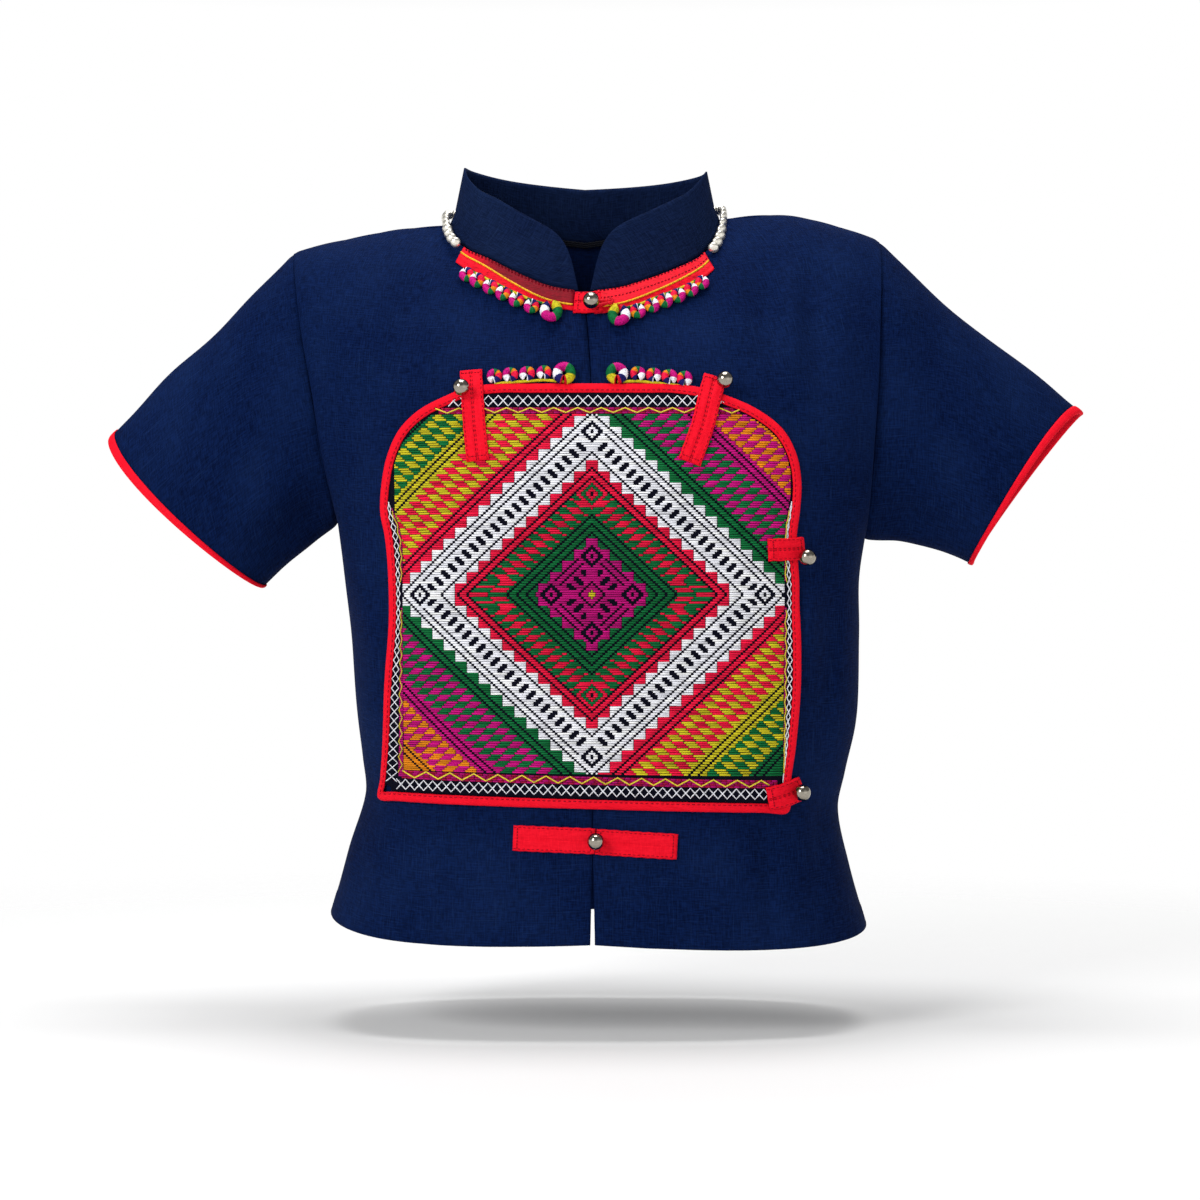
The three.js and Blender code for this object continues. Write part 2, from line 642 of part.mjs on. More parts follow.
function bibBindingPiece() {
  const outline = bibOutline();
  const within = insetOutline(outline, bib.binding);
  const rings = outline.map(([x, z], i) => {
    const [ix, iz] = within[i];
    const [mx, mz] = [(x + ix) / 2, (z + iz) / 2];
    return [
      frontAt(x, z, bib.lift).point,
      frontAt(x, z, bib.lift + bib.bindingWall * 0.6).point,
      frontAt(mx, mz, bib.lift + bib.bindingWall).point,
      frontAt(ix, iz, bib.lift + bib.bindingWall * 0.8).point,
      frontAt(ix, iz, bib.lift).point,
    ];
  });
  return ringsGeometry(rings, true);
}

function strapPiece({ width, line }) {
  const steps = 3;
  const middle = [];
  for (let i = 0; i < line.length - 1; i++) {
    for (let k = 0; k < steps; k++) {
      middle.push(line[i].map((value, c) => lerp(value, line[i + 1][c], k / steps)));
    }
  }
  middle.push(line.at(-1));
  const rings = middle.map(([x, z, height], i) => {
    const [ax, az] = middle[Math.max(i - 1, 0)];
    const [bx, bz] = middle[Math.min(i + 1, middle.length - 1)];
    const along = new THREE.Vector2(bx - ax, bz - az).normalize();
    const aside = [along.y * width * 0.5, -along.x * width * 0.5];
    const corner = (way, lift) => frontAt(x + aside[0] * way, z + aside[1] * way, height + lift).point;
    return [
      corner(-1, 0),
      ...[-1, 0, 1].map((way) => corner(way, strapWall)),
      ...[1, 0].map((way) => corner(way, 0)),
    ];
  });
  return ringsGeometry(rings);
}

function neckBandPiece(side) {
  const steps = 14;
  const width = neckBand[sideKey(side)];
  const down = [neckBand.top, neckBand.top + width / 2, neckBand.top + width];
  const grid = down.map((drop) =>
    Array.from({ length: steps + 1 }, (_, k) => {
      const degrees = lerp(neckBand.from, neckBand.to, k / steps);
      const a = radians(degrees);
      const edge = necklinePoint(side > 0 ? degrees : 360 - degrees);
      return [edge.x + side * Math.sin(a) * drop * 0.62, edge.z - drop * (0.55 + 0.4 * Math.cos(a))];
    }),
  );
  return frontPatch(grid, neckBand.lift, neckBand.wall);
}

function buttonPiece({ x, z, lift }) {
  const { point, normal } = frontAt(x, z, lift);
  const centre = button.shankHeight + button.ball * 0.96;
  const profile = [new THREE.Vector2(0, 0), new THREE.Vector2(button.shank, 0)];
  const start = Math.asin(button.shank / button.ball);
  for (let k = 0; k <= 7; k++) {
    const a = lerp(start, Math.PI, k / 7);
    profile.push(new THREE.Vector2(button.ball * Math.sin(a), centre - button.ball * Math.cos(a)));
  }
  profile.at(-1).x = 0;
  const geometry = new THREE.LatheGeometry(profile, 12);
  geometry.applyQuaternion(new THREE.Quaternion().setFromUnitVectors(vec(0, 1, 0), normal));
  return geometry.translate(point.x, point.y, point.z);
}

// A cord along the front whose section swells into a flat round coil at each stop.
function coilTrimPiece({ line, large }) {
  const stops = line.map(([x, z]) => ({ x, z, radius: coil.small }));
  stops.push({ x: large[0], z: large[1], radius: coil.large });
  const sides = 8;
  const rings = [];
  const ringAt = (x, z, dirX, dirZ, radius, centreHeight) => {
    const { normal } = frontAt(x, z);
    const centre = frontAt(x, z, centreHeight).point;
    const along = vec(dirX, 0, dirZ);
    along.addScaledVector(normal, -along.dot(normal)).normalize();
    const aside = normal.clone().cross(along);
    rings.push(Array.from({ length: sides }, (_, k) => {
      const a = ((k + 0.5) / sides) * 2 * Math.PI;
      return centre.clone()
        .addScaledVector(aside, radius * Math.cos(a))
        .addScaledVector(normal, Math.max(radius * coil.thick, 1) * Math.sin(a));
    }));
  };
  stops.forEach((stop, i) => {
    const before = stops[Math.max(i - 1, 0)];
    const after = stops[Math.min(i + 1, stops.length - 1)];
    const dir = new THREE.Vector2(after.x - before.x, after.z - before.z).normalize();
    const high = coil.lift + stop.radius * coil.thick;
    for (const share of coil.swell) {
      const radius = Math.max(stop.radius * Math.sqrt(1 - share * share), coil.cord);
      const away = share * stop.radius;
      ringAt(stop.x + dir.x * away, stop.z + dir.y * away, dir.x, dir.y, radius, high);
    }
  });
  return ringsGeometry(rings);
}

function silverBeadPiece() {
  const rings = [];
  const at = (degrees) => {
    const a = radians(degrees);
    const outward = vec(Math.sin(a), -Math.cos(a), 0);
    const centre = necklinePoint(degrees).addScaledVector(outward, silverBead.out);
    return { centre: centre.add(vec(0, 0, silverBead.up)), outward };
  };
  const turn = silverBead.to - silverBead.from;
  const length = radians(turn) * Math.sqrt((neck.halfWidth ** 2 + neck.halfDepth ** 2) / 2);
  const count = Math.round(length / silverBead.pitch);
  const sides = 6;
  for (let k = 0; k < count; k++) {
    for (const [share, radius] of silverBead.swell) {
      const degrees = silverBead.from + (turn * (k + share)) / count;
      const { centre, outward } = at(degrees);
      const ahead = at(degrees + 1).centre.sub(at(degrees - 1).centre).normalize();
      const upward = outward.clone().cross(ahead).normalize();
      const sideways = ahead.clone().cross(upward).normalize();
      rings.push(Array.from({ length: sides }, (_, j) => {
        const a = (j / sides) * 2 * Math.PI;
        return centre.clone()
          .addScaledVector(sideways, radius * Math.cos(a))
          .addScaledVector(upward, radius * Math.sin(a));
      }));
    }
  }
  return ringsGeometry(rings);
}

// ---- materials and assembly ----
const navy = new THREE.MeshStandardMaterial({ color: 0x10204a, roughness: 0.92 });
const red = new THREE.MeshStandardMaterial({ color: 0xe8182e, roughness: 0.6 });
const embroidery = new THREE.MeshStandardMaterial({ color: 0x8c2438, roughness: 0.8 });
const wrapped = new THREE.MeshStandardMaterial({ color: 0xd23a6a, roughness: 0.7 });
const silver = new THREE.MeshStandardMaterial({ color: 0xd8d8d8, roughness: 0.3, metalness: 1 });
const steel = new THREE.MeshStandardMaterial({ color: 0xb8b4ae, roughness: 0.2, metalness: 1 });

const top = new THREE.Group();
const add = (name, geometry, material) => {
  const mesh = new THREE.Mesh(geometry, material);
  mesh.name = name;
  top.add(mesh);
};

for (const side of [-1, 1]) {
  const name = sideKey(side);
  add("front_" + name, frontPiece(side), navy);
  add("sleeve_" + name, sleevePiece(side), navy);
  add("cuff_binding_" + name, cuffBindingPiece(side), red);
  add("neck_band_" + name, neckBandPiece(side), red);
}
add("back", backPiece(), navy);
add("collar", collarPiece(), navy);
add("chest_panel", bibPiece(), embroidery);
add("panel_binding", bibBindingPiece(), red);
for (const [name, strap] of Object.entries(straps)) add(name, strapPiece(strap), red);
for (const [name, place] of Object.entries(buttons)) add(name, buttonPiece(place), steel);
for (const [name, trim] of Object.entries(coilTrims)) add(name, coilTrimPiece(trim), wrapped);
add("silver_bead_row", silverBeadPiece(), silver);

export default top;
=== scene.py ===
import math

import bmesh
import bpy
import numpy as np
from mathutils import Matrix, Vector


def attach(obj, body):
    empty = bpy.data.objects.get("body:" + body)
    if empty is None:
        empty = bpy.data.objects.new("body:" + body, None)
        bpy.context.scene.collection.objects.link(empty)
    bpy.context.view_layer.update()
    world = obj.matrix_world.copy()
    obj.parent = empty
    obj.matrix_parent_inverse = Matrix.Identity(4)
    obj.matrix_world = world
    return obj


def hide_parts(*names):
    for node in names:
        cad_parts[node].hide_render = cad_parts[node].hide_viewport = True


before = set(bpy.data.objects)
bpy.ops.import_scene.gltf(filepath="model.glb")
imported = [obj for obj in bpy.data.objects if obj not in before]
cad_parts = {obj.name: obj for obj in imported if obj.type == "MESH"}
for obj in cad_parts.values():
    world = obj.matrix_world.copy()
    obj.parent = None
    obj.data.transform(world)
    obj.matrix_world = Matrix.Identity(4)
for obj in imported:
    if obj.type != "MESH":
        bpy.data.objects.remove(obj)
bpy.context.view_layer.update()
rng = np.random.default_rng(11)
print("frame loaded")

# Tables of the form, as in the part but for the collar's corners and opening.
bodyLevels = {
    "height": [-462, -423, -385, -360, -330, -300, -267, -234, -204],
    "left": [171, 160, 149, 150.8, 153.7, 156.3, 158.8, 162.5, 167],
    "right": [178.5, 168.5, 160.5, 165, 171.5, 174, 174.5, 174, 178],
    "front": [112, 108, 104, 104, 106, 109, 112, 113, 111],
    "back": [99, 95, 90, 89, 92, 96, 100, 102, 103],
}
fullness = {-1: 2.9, 1: 2.5}
hem = {"centre": -464, "left": -450.5, "right": -459, "leftDip": 3, "rightDip": 5.2}
armpit = {"centre": -204, "left": -199, "right": -210}
shoulder = {"left": (-197, -20.5, 4), "right": (188.5, -12.8, 9.5)}
armholeDepth = {-1: 52, 1: 50}
neck = {"x": -5.5, "y": -3, "halfWidth": 87, "halfDepth": 55, "share": 1 / 3}
necklineHeights = {
    "angle": [0, 15, 30, 45, 60, 75, 90, 110, 145, 180],
    "left": [-52, -48, -38.8, -28.8, -21.5, -12, -1.8, 2, -2, -8],
    "right": [-52, -49, -42, -34, -25.5, -12.5, 1.5, 4.5, -1, -8],
}
collarHeights = {
    "angle": [0, 30, 60, 78, 92, 110, 145, 180],
    "left": [38, 39, 39.5, 39, 37, 34, 34, 36],
    "right": [40, 43, 42.5, 38, 31, 28, 31, 36],
}
collar = {
    "inward": 0.2, "rise": 0.985, "cornerWidth": 28, "cornerLow": 6, "cornerPower": 3,
    "spread": 0.17, "spreadReach": 12, "opening": 3.2, "wall": 2,
}
sleeveStations = {
    "left": {
        "along": [0, 0.12, 0.4, 0.7, 1], "topX": [-197, -210, -241, -280, -317.5],
        "topZ": [-20.5, -33.5, -66, -102, -142], "lowX": [-167, -172, -184, -201, -218],
        "lowZ": [-199, -203, -211, -225, -241], "front": [52, 51, 48, 45, 42],
        "back": [50, 49, 46, 43, 40], "swing": [0, 0, 2, 6, 9],
    },
    "right": {
        "along": [0, 0.12, 0.4, 0.7, 1], "topX": [188.5, 204, 236, 281, 323.5],
        "topZ": [-12.8, -28, -58.5, -92, -127], "lowX": [178, 187, 204, 225, 251],
        "lowZ": [-210, -210.5, -210.5, -216, -226], "front": [52, 51, 48, 45, 42],
        "back": [50, 49, 46, 43, 40], "swing": [0, 0, -2, -6.5, -10.5],
    },
}
foldStrength = 1.5
# Folds as (side, from x, from z, to x, to z, width, rise), on the front and on the back.
frontFolds = [
    (1, 106, -22, 112, -90, 11, -3.5), (1, 140, -28, 146, -120, 11, -4),
    (1, 160, -200, 150, -330, 10, 2.5), (-1, -150, -120, -160, -195, 11, -3),
    (-1, -143, -330, -152, -452, 10, -3), (-1, -108, -400, -108, -470, 8, -2),
    (1, 107, -380, 112, -466, 7, -2.2), (1, 86, -30, 92, -96, 9, 1.6), (-1, -118, -30, -128, -104, 10, -2.0),
    (-1, -96, -30, -102, -92, 9, 1.4), (1, 30, -416, 36, -470, 9, 1.2), (-1, -40, -418, -48, -470, 10, -1.2),
    (1, 150, -345, 142, -440, 9, -2.6),
    (1, 157, -214, 146, -345, 9, -4.4), (1, 136, -222, 138, -300, 7, 2.4), (1, 128, -40, 126, -110, 7, 2.0),
    (-1, -150, -215, -140, -300, 9, 1.8), (1, 152, -212, 120, -260, 9, -2.2),
    (-1, -70, -70, -30, -92, 8, -0.9), (1, 62, -76, 30, -96, 8, -0.9),
]
backFolds = [
    (1, 60, -40, 95, -150, 13, -4.0), (-1, -62, -46, -104, -160, 12, -4.2),
    (1, 118, -250, 96, -420, 12, -4.6), (-1, -112, -240, -98, -430, 13, -4.4),
    (1, 20, -300, 34, -462, 13, -3.2), (-1, -34, -260, -24, -455, 12, 3.0), (1, 148, -120, 156, -200, 10, -4),
    (-1, -148, -130, -150, -215, 10, -3.6), (1, 66, -300, 74, -455, 11, 2.6),
    (-1, -70, -320, -62, -460, 11, -2.6),
    (1, 30, -60, 22, -150, 12, 1.8), (-1, -134, -330, -150, -440, 10, -3), (1, 140, -330, 156, -440, 10, -3),
]
bibEdges = {
    "height": [-114.5, -117, -122.5, -131, -143, -158, -175, -194, -210, -230, -262, -300, -340, -362, -380],
    "left": [-60, -79, -93, -109, -121, -128, -131.5, -132.5, -129.5, -127.5, -127, -130, -131.5, -133,
             -134.5],
    "right": [50, 68, 85.5, 104, 119, 127, 130, 129, 127, 128, 130, 130, 127, 124, 122],
}
bib = {"tilt": 0.028, "tiltFrom": -370, "lift": 1.25, "wall": 1.5, "binding": 6, "bindingWall": 2.4}


# Small tools.
def lerp(a, b, t):
    return a + (b - a) * t


def smoothStep(x, low, high):
    t = np.clip((x - low) / (high - low), 0, 1)
    return t * t * (3 - 2 * t)


def unit(v):
    return v / np.maximum(np.linalg.norm(v, axis=-1, keepdims=True), 1e-12)


def readTable(table, column, value, at):
    xs, ys = np.array(table[column], float), np.array(table[value], float)
    if xs[1] < xs[0]:
        xs, at = -xs, -np.asarray(at, float)
    i = np.clip(np.searchsorted(xs, at, side="left") - 1, 0, len(xs) - 2)
    before, after = np.maximum(i - 1, 0), np.minimum(i + 2, len(xs) - 1)
    span = xs[i + 1] - xs[i]
    t = np.clip((at - xs[i]) / span, 0, 1)
    slopeIn = (ys[i + 1] - ys[before]) / (xs[i + 1] - xs[before]) * span
    slopeOut = (ys[after] - ys[i]) / (xs[after] - xs[i]) * span
    return (
        ys[i] * (2 * t**3 - 3 * t**2 + 1) + slopeIn * (t**3 - 2 * t**2 + t)
        + ys[i + 1] * (3 * t**2 - 2 * t**3) + slopeOut * (t**3 - t**2)
    )


def sideKey(side):
    return "left" if side < 0 else "right"


def camelCase(name):
    first, *rest = name.split("_")
    return first + "".join(part.capitalize() for part in rest)


# The body surface.
def necklinePoint(degrees):
    degrees = np.asarray(degrees, float)
    a = np.radians(degrees)
    turn = np.where(degrees > 180, 360 - degrees, degrees)
    z = np.where(
        np.sin(a) < 0,
        readTable(necklineHeights, "angle", "left", turn),
        readTable(necklineHeights, "angle", "right", turn),
    )
    return np.stack(
        [neck["x"] + neck["halfWidth"] * np.sin(a), neck["y"] - neck["halfDepth"] * np.cos(a), z], -1
    )


def sleevePoint(side, along, turn):
    rows = sleeveStations[sideKey(side)]
    along, turn = np.broadcast_arrays(np.asarray(along, float), np.asarray(turn, float))
    read = {name: readTable(rows, "along", name, along) for name in rows if name != "along"}
    share = (1 - np.cos(turn)) / 2
    reach = np.where(np.sin(turn) > 0, read["front"], read["back"])
    dx, dz = read["topX"] - read["lowX"], read["topZ"] - read["lowZ"]
    length = np.hypot(dx, dz)
    onward = read["swing"] * np.maximum(np.sin(turn), 0) * (1 - 0.3 * np.cos(turn))
    return np.stack(
        [
            lerp(read["lowX"], read["topX"], share) + side * dz / length * onward,
            -reach * np.sin(turn),
            lerp(read["lowZ"], read["topZ"], share) - side * dx / length * onward,
        ],
        -1,
    )


def lowerPoint(side, face, across, up):
    key = sideKey(side)
    hemZ = lerp(hem["centre"], hem[key], across**2) - hem[key + "Dip"] * np.sin(np.pi * across)
    topZ = lerp(armpit["centre"], armpit[key], across**2)
    level = lerp(bodyLevels["height"][0], bodyLevels["height"][-1], up)
    depth = readTable(bodyLevels, "height", "front" if face < 0 else "back", level)
    out = np.sin(across * np.pi / 2)
    n = fullness[face]
    return np.stack(
        [
            side * readTable(bodyLevels, "height", key, level) * out,
            face * depth * np.maximum(1 - np.abs(out) ** n, 0) ** (1 / n),
            lerp(hemZ, topZ, up),
        ],
        -1,
    )


def topPoint(side, face, across):
    turn = 90 * across / neck["share"]
    fromFront = turn if face < 0 else 180 - turn
    nearNeck = necklinePoint(fromFront if side > 0 else 360 - fromFront)
    start = necklinePoint(90 if side > 0 else 270)
    endX, endZ, arch = shoulder[sideKey(side)]
    startOut = math.sin(neck["share"] * math.pi / 2)
    share = (np.sin(across * np.pi / 2) - startOut) / (1 - startOut)
    ridge = np.stack(
        [
            lerp(start[0], endX, share),
            lerp(start[1], 0, share),
            lerp(start[2], endZ, share) + arch * np.sin(np.pi * np.clip(share, 0, 1)),
        ],
        -1,
    )
    return np.where((across <= neck["share"])[..., None], nearNeck, ridge)


def softTopPoint(side, face, across, blur):
    reach = np.minimum(blur, 1 - across)
    total = 0
    for k in range(-4, 5):
        at = across + reach * k / 4
        point = topPoint(side, face, np.abs(at))
        point[..., 0] = np.where(at < 0, 2 * neck["x"] - point[..., 0], point[..., 0])
        total = total + point
    return total / 9


def foldRise(folds, side, x, z):
    rise = 0
    for foldSide, x0, z0, x1, z1, width, height in folds:
        if foldSide != side:
            continue
        runX, runZ = x1 - x0, z1 - z0
        share = np.clip(((x - x0) * runX + (z - z0) * runZ) / (runX**2 + runZ**2), 0, 1)
        aside = np.hypot(x - x0 - share * runX, z - z0 - share * runZ) / width
        rise = rise + foldStrength * height * np.sin(np.pi * (share * 0.8 + 0.1)) * np.exp(-(aside**2))
    return rise


def bodyPoint(side, face, across, up):
    across, up = np.broadcast_arrays(np.asarray(across, float), np.asarray(up, float))
    s = np.clip(up - 1, 0, 1)
    low = lowerPoint(side, face, across, np.clip(up, 0, 1))
    top = softTopPoint(side, face, across, 0.3 * (1 - s))
    nearArm = np.abs(across) ** 5
    rounding = lerp(0.25, 0.95, smoothStep(across, 0.15, 0.8))
    rising = lerp(s, np.sin(s * np.pi / 2), rounding)
    share = lerp(rising, (1 - np.cos(np.pi * s)) / 2, nearArm)
    inward = 1 - np.cos(s * np.pi / 2)
    p = low + 0.0
    p[..., 0] = lerp(low[..., 0], top[..., 0], share) - neck["x"] * 0.4 * (1 - across) * np.sin(np.pi * share)
    armhole = armholeDepth[face] * nearArm * np.sin(np.pi * s)
    p[..., 1] = lerp(low[..., 1], top[..., 1], inward) + face * armhole
    p[..., 2] = lerp(low[..., 2], top[..., 2], share)
    edge = np.clip(np.minimum(np.abs(across), 1 - across) * 8, 0, 1)
    folds = frontFolds if face < 0 else backFolds
    p[..., 1] += face * foldRise(folds, side, p[..., 0], p[..., 2]) * edge
    return p


def gridNormals(points, outwardFrom, ring=False):
    if ring:
        wide = np.concatenate([points[:, -1:], points, points[:, :1]], 1)
        across = (wide[:, 2:] - wide[:, :-2])
    else:
        across = np.gradient(points, axis=1)
    along = np.gradient(points, axis=0)
    normal = unit(np.cross(across, along))
    outward = np.sum(normal * (points - outwardFrom), -1).mean() > 0
    return normal if outward else -normal


# The front as a height map over x and z, which all that lies on the front reads.
mapStep = 3.0
mapX, mapZ = np.arange(-156, 160, mapStep), np.arange(-474, -12, mapStep)


def makeFrontMap():
    x, z = np.meshgrid(mapX, mapZ)
    found = {}
    for side in (-1, 1):
        across = np.arcsin(np.clip(side * x / (160 if side < 0 else 175), -0.2, 0.985)) * 2 / np.pi
        up = (z - hem["centre"]) / (armpit["centre"] - hem["centre"])
        up = np.where(up > 1, 1 + (z - armpit["centre"]) / 170, up)
        step = 1e-3
        for _ in range(12):
            here = bodyPoint(side, -1, across, up)
            da = (bodyPoint(side, -1, across + step, up) - here) / step
            du = (bodyPoint(side, -1, across, up + step) - here) / step
            ex, ez = x - here[..., 0], z - here[..., 2]
            det = da[..., 0] * du[..., 2] - da[..., 2] * du[..., 0]
            det = np.where(np.abs(det) < 1, np.sign(det + 1e-9), det)
            across = np.clip(across + (ex * du[..., 2] - ez * du[..., 0]) / det, -0.2, 0.99)
            up = np.clip(up + (da[..., 0] * ez - da[..., 2] * ex) / det, -0.02, 1.995)
        here = bodyPoint(side, -1, across, up)
        found[side] = (across, here[..., 1], np.hypot(x - here[..., 0], z - here[..., 2]))
    right = found[1][0] >= 0
    depth = np.where(right, found[1][1], found[-1][1])
    missed = np.where(right, found[1][2], found[-1][2]) > 0.3
    for row in range(2, len(mapZ)):  # above the neckline the surface goes on as it was
        depth[row] = np.where(missed[row], 2 * depth[row - 1] - depth[row - 2], depth[row])
    return depth


frontMap = makeFrontMap()


def frontDepth(x, z):
    def weights(t):
        return [
            -0.5 * t + t**2 - 0.5 * t**3, 1 - 2.5 * t**2 + 1.5 * t**3,
            0.5 * t + 2 * t**2 - 1.5 * t**3, -0.5 * t**2 + 0.5 * t**3,
        ]

    fx, fz = (x - mapX[0]) / mapStep, (z - mapZ[0]) / mapStep
    ix = np.clip(np.floor(fx).astype(int), 1, len(mapX) - 3)
    iz = np.clip(np.floor(fz).astype(int), 1, len(mapZ) - 3)
    wx, wz = weights(np.clip(fx - ix, -1, 2)), weights(np.clip(fz - iz, -1, 2))
    return sum(frontMap[iz + j - 1, ix + i - 1] * wx[i] * wz[j] for i in range(4) for j in range(4))


def frontAt(x, z, height=0.0):
    x, z, height = np.broadcast_arrays(*(np.asarray(v, float) for v in (x, z, height)))
    y = frontDepth(x, z)
    slopeX = (frontDepth(x + 1, z) - frontDepth(x - 1, z)) / 2
    slopeZ = (frontDepth(x, z + 1) - frontDepth(x, z - 1)) / 2
    normal = unit(np.stack([slopeX, -np.ones_like(x), slopeZ], -1))
    return np.stack([x, y, z], -1) + normal * height[..., None], normal


print("front surface mapped")


# Meshes.
def linear(rgb):
    c = np.array(rgb, float) / 255
    return np.where(c <= 0.04045, c / 12.92, ((c + 0.055) / 1.055) ** 2.4)


def addObject(name, mesh, material):
    mesh.materials.append(material)
    obj = bpy.data.objects.new(name, mesh)
    bpy.context.scene.collection.objects.link(obj)
    return obj


def makeMesh(name, points, faces, material, uv=None, tint=None):
    mesh = bpy.data.meshes.new(name)
    points = np.asarray(points, float).reshape(-1, 3)
    mesh.from_pydata((points * 0.001).tolist(), [], [list(map(int, f)) for f in faces])
    mesh.polygons.foreach_set("use_smooth", [True] * len(mesh.polygons))
    corner = np.zeros(len(mesh.loops), int)
    mesh.loops.foreach_get("vertex_index", corner)
    if uv is not None:
        layer = mesh.uv_layers.new(name="cloth")
        layer.data.foreach_set("uv", (np.asarray(uv, float).reshape(-1, 2)[corner] * 0.001).ravel())
    if tint is not None:
        attribute = mesh.color_attributes.new("tint", "FLOAT_COLOR", "POINT")
        rgba = np.ones((len(points), 4))
        rgba[:, :3] = np.asarray(tint).reshape(-1, 3)
        attribute.data.foreach_set("color", rgba.ravel())
    mesh.update()
    return addObject(name, mesh, material)


def meshFrom(name, bm, material, smooth=True):
    for face in bm.faces:
        face.smooth = smooth
    mesh = bpy.data.meshes.new(name)
    bm.to_mesh(mesh)
    bm.free()
    return addObject(name, mesh, material)


def place(obj, slot, *nodes):
    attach(obj, "root")
    if nodes:
        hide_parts(*nodes)
    return obj


def gridFaces(rows, columns, start=0, ring=False, flip=False):
    j = np.arange(columns if ring else columns - 1)
    i = np.arange(rows - 1)[:, None]
    a = start + i * columns + j
    b = start + i * columns + (j + 1) % columns
    quads = np.stack([a, b, b + columns, a + columns], -1).reshape(-1, 4)
    return quads[:, ::-1] if flip else quads


# A closed wall between an outer and an inner grid; the inner one turns over the same edges.
def wallMesh(name, outer, inner, material, uv, ring=False, tint=None):
    rows, columns = outer.shape[:2]
    count = rows * columns
    top, under = gridFaces(rows, columns, 0, ring), gridFaces(rows, columns, count, ring, True)
    rims = []
    j = np.arange(columns if ring else columns - 1)
    k = (j + 1) % columns
    rims.append(np.stack([k, j, count + j, count + k], -1))
    last = (rows - 1) * columns
    rims.append(np.stack([last + j, last + k, count + last + k, count + last + j], -1))
    if not ring:
        i = np.arange(rows - 1) * columns
        rims.append(np.stack([i, i + columns, count + i + columns, count + i], -1))
        i = i + columns - 1
        rims.append(np.stack([i + columns, i, count + i, count + i + columns], -1))
    faces = np.concatenate([top, under, *rims])
    points = np.concatenate([outer.reshape(-1, 3), inner.reshape(-1, 3)])
    a, b, c = points[faces[:, 0]], points[faces[:, 1]], points[faces[:, 2]]
    if np.sum(a * np.cross(b, c)) + np.sum(a * np.cross(c, points[faces[:, 3]])) < 0:
        faces = faces[:, ::-1]
    uv = np.concatenate([uv.reshape(-1, 2)] * 2)
    tint = None if tint is None else np.concatenate([tint.reshape(-1, 3)] * 2)
    return makeMesh(name, points, faces.tolist(), material, uv, tint)


# The grid of a tube with its first column again at the end.
def closed(points):
    return np.concatenate([points, points[:, :1]], 1)


def gridUv(points):
    acrossStep = np.linalg.norm(np.diff(points, axis=1), axis=-1)
    alongStep = np.linalg.norm(np.diff(points, axis=0), axis=-1)
    u = np.concatenate([np.zeros((len(points), 1)), np.cumsum(acrossStep, 1)], 1)
    v = np.concatenate([np.zeros((1, points.shape[1])), np.cumsum(alongStep, 0)], 0)
    return np.stack([u - u[:, :1], v], -1)


# Materials.
class Nodes:
    def __init__(self, name):
        self.material = bpy.data.materials.new(name)
        self.material.use_nodes = True
        self.tree = self.material.node_tree
        self.shader = self.tree.nodes["Principled BSDF"]

    def add(self, kind, inputs=(), **settings):
        node = self.tree.nodes.new("ShaderNode" + kind)
        for key, value in settings.items():
            setattr(node, key, value)
        for key, value in dict(inputs).items():
            self.put(node.inputs[key], value)
        return node

    def put(self, socket, value):
        if isinstance(value, bpy.types.NodeSocket):
            self.tree.links.new(value, socket)
        else:
            socket.default_value = value

    def set(self, **values):
        for key, value in values.items():
            self.put(self.shader.inputs[key.replace("_", " ")], value)
        return self.material

    def coordinates(self, source="UV", scale=(1, 1, 1)):
        if source == "UV":
            out = self.add("UVMap", uv_map="cloth").outputs[0]
        else:
            out = self.add("TexCoord").outputs[source]
        return self.add("Mapping", {"Vector": out, "Scale": scale}).outputs[0]

    def noise(self, vector, scale=1.0, detail=2.0, roughness=0.5):
        inputs = {"Vector": vector, "Scale": scale, "Detail": detail, "Roughness": roughness}
        return self.add("TexNoise", inputs).outputs["Fac"]

    def ramp(self, factor, *stops):
        node = self.add("ValToRGB", {"Fac": factor})
        elements = node.color_ramp.elements
        while len(elements) < len(stops):
            elements.new(0.5)
        for element, (position, value) in zip(elements, stops):
            element.position = position
            element.color = (*([value] * 3 if np.isscalar(value) else value), 1)
        return node.outputs[0]

    def mix(self, factor, a, b, blend="MIX"):
        node = self.add("Mix", data_type="RGBA", blend_type=blend)
        self.put(node.inputs["Factor"], factor)
        for socket, value in ((node.inputs[6], a), (node.inputs[7], b)):
            self.put(socket, value if isinstance(value, bpy.types.NodeSocket) else (*value, 1))
        return node.outputs[2]

    def maths(self, operation, a, b=0.0):
        return self.add("Math", {0: a, 1: b}, operation=operation).outputs[0]

    def bump(self, height, distance, strength=1.0):
        inputs = {"Height": height, "Distance": distance, "Strength": strength}
        return self.add("Bump", inputs).outputs[0]


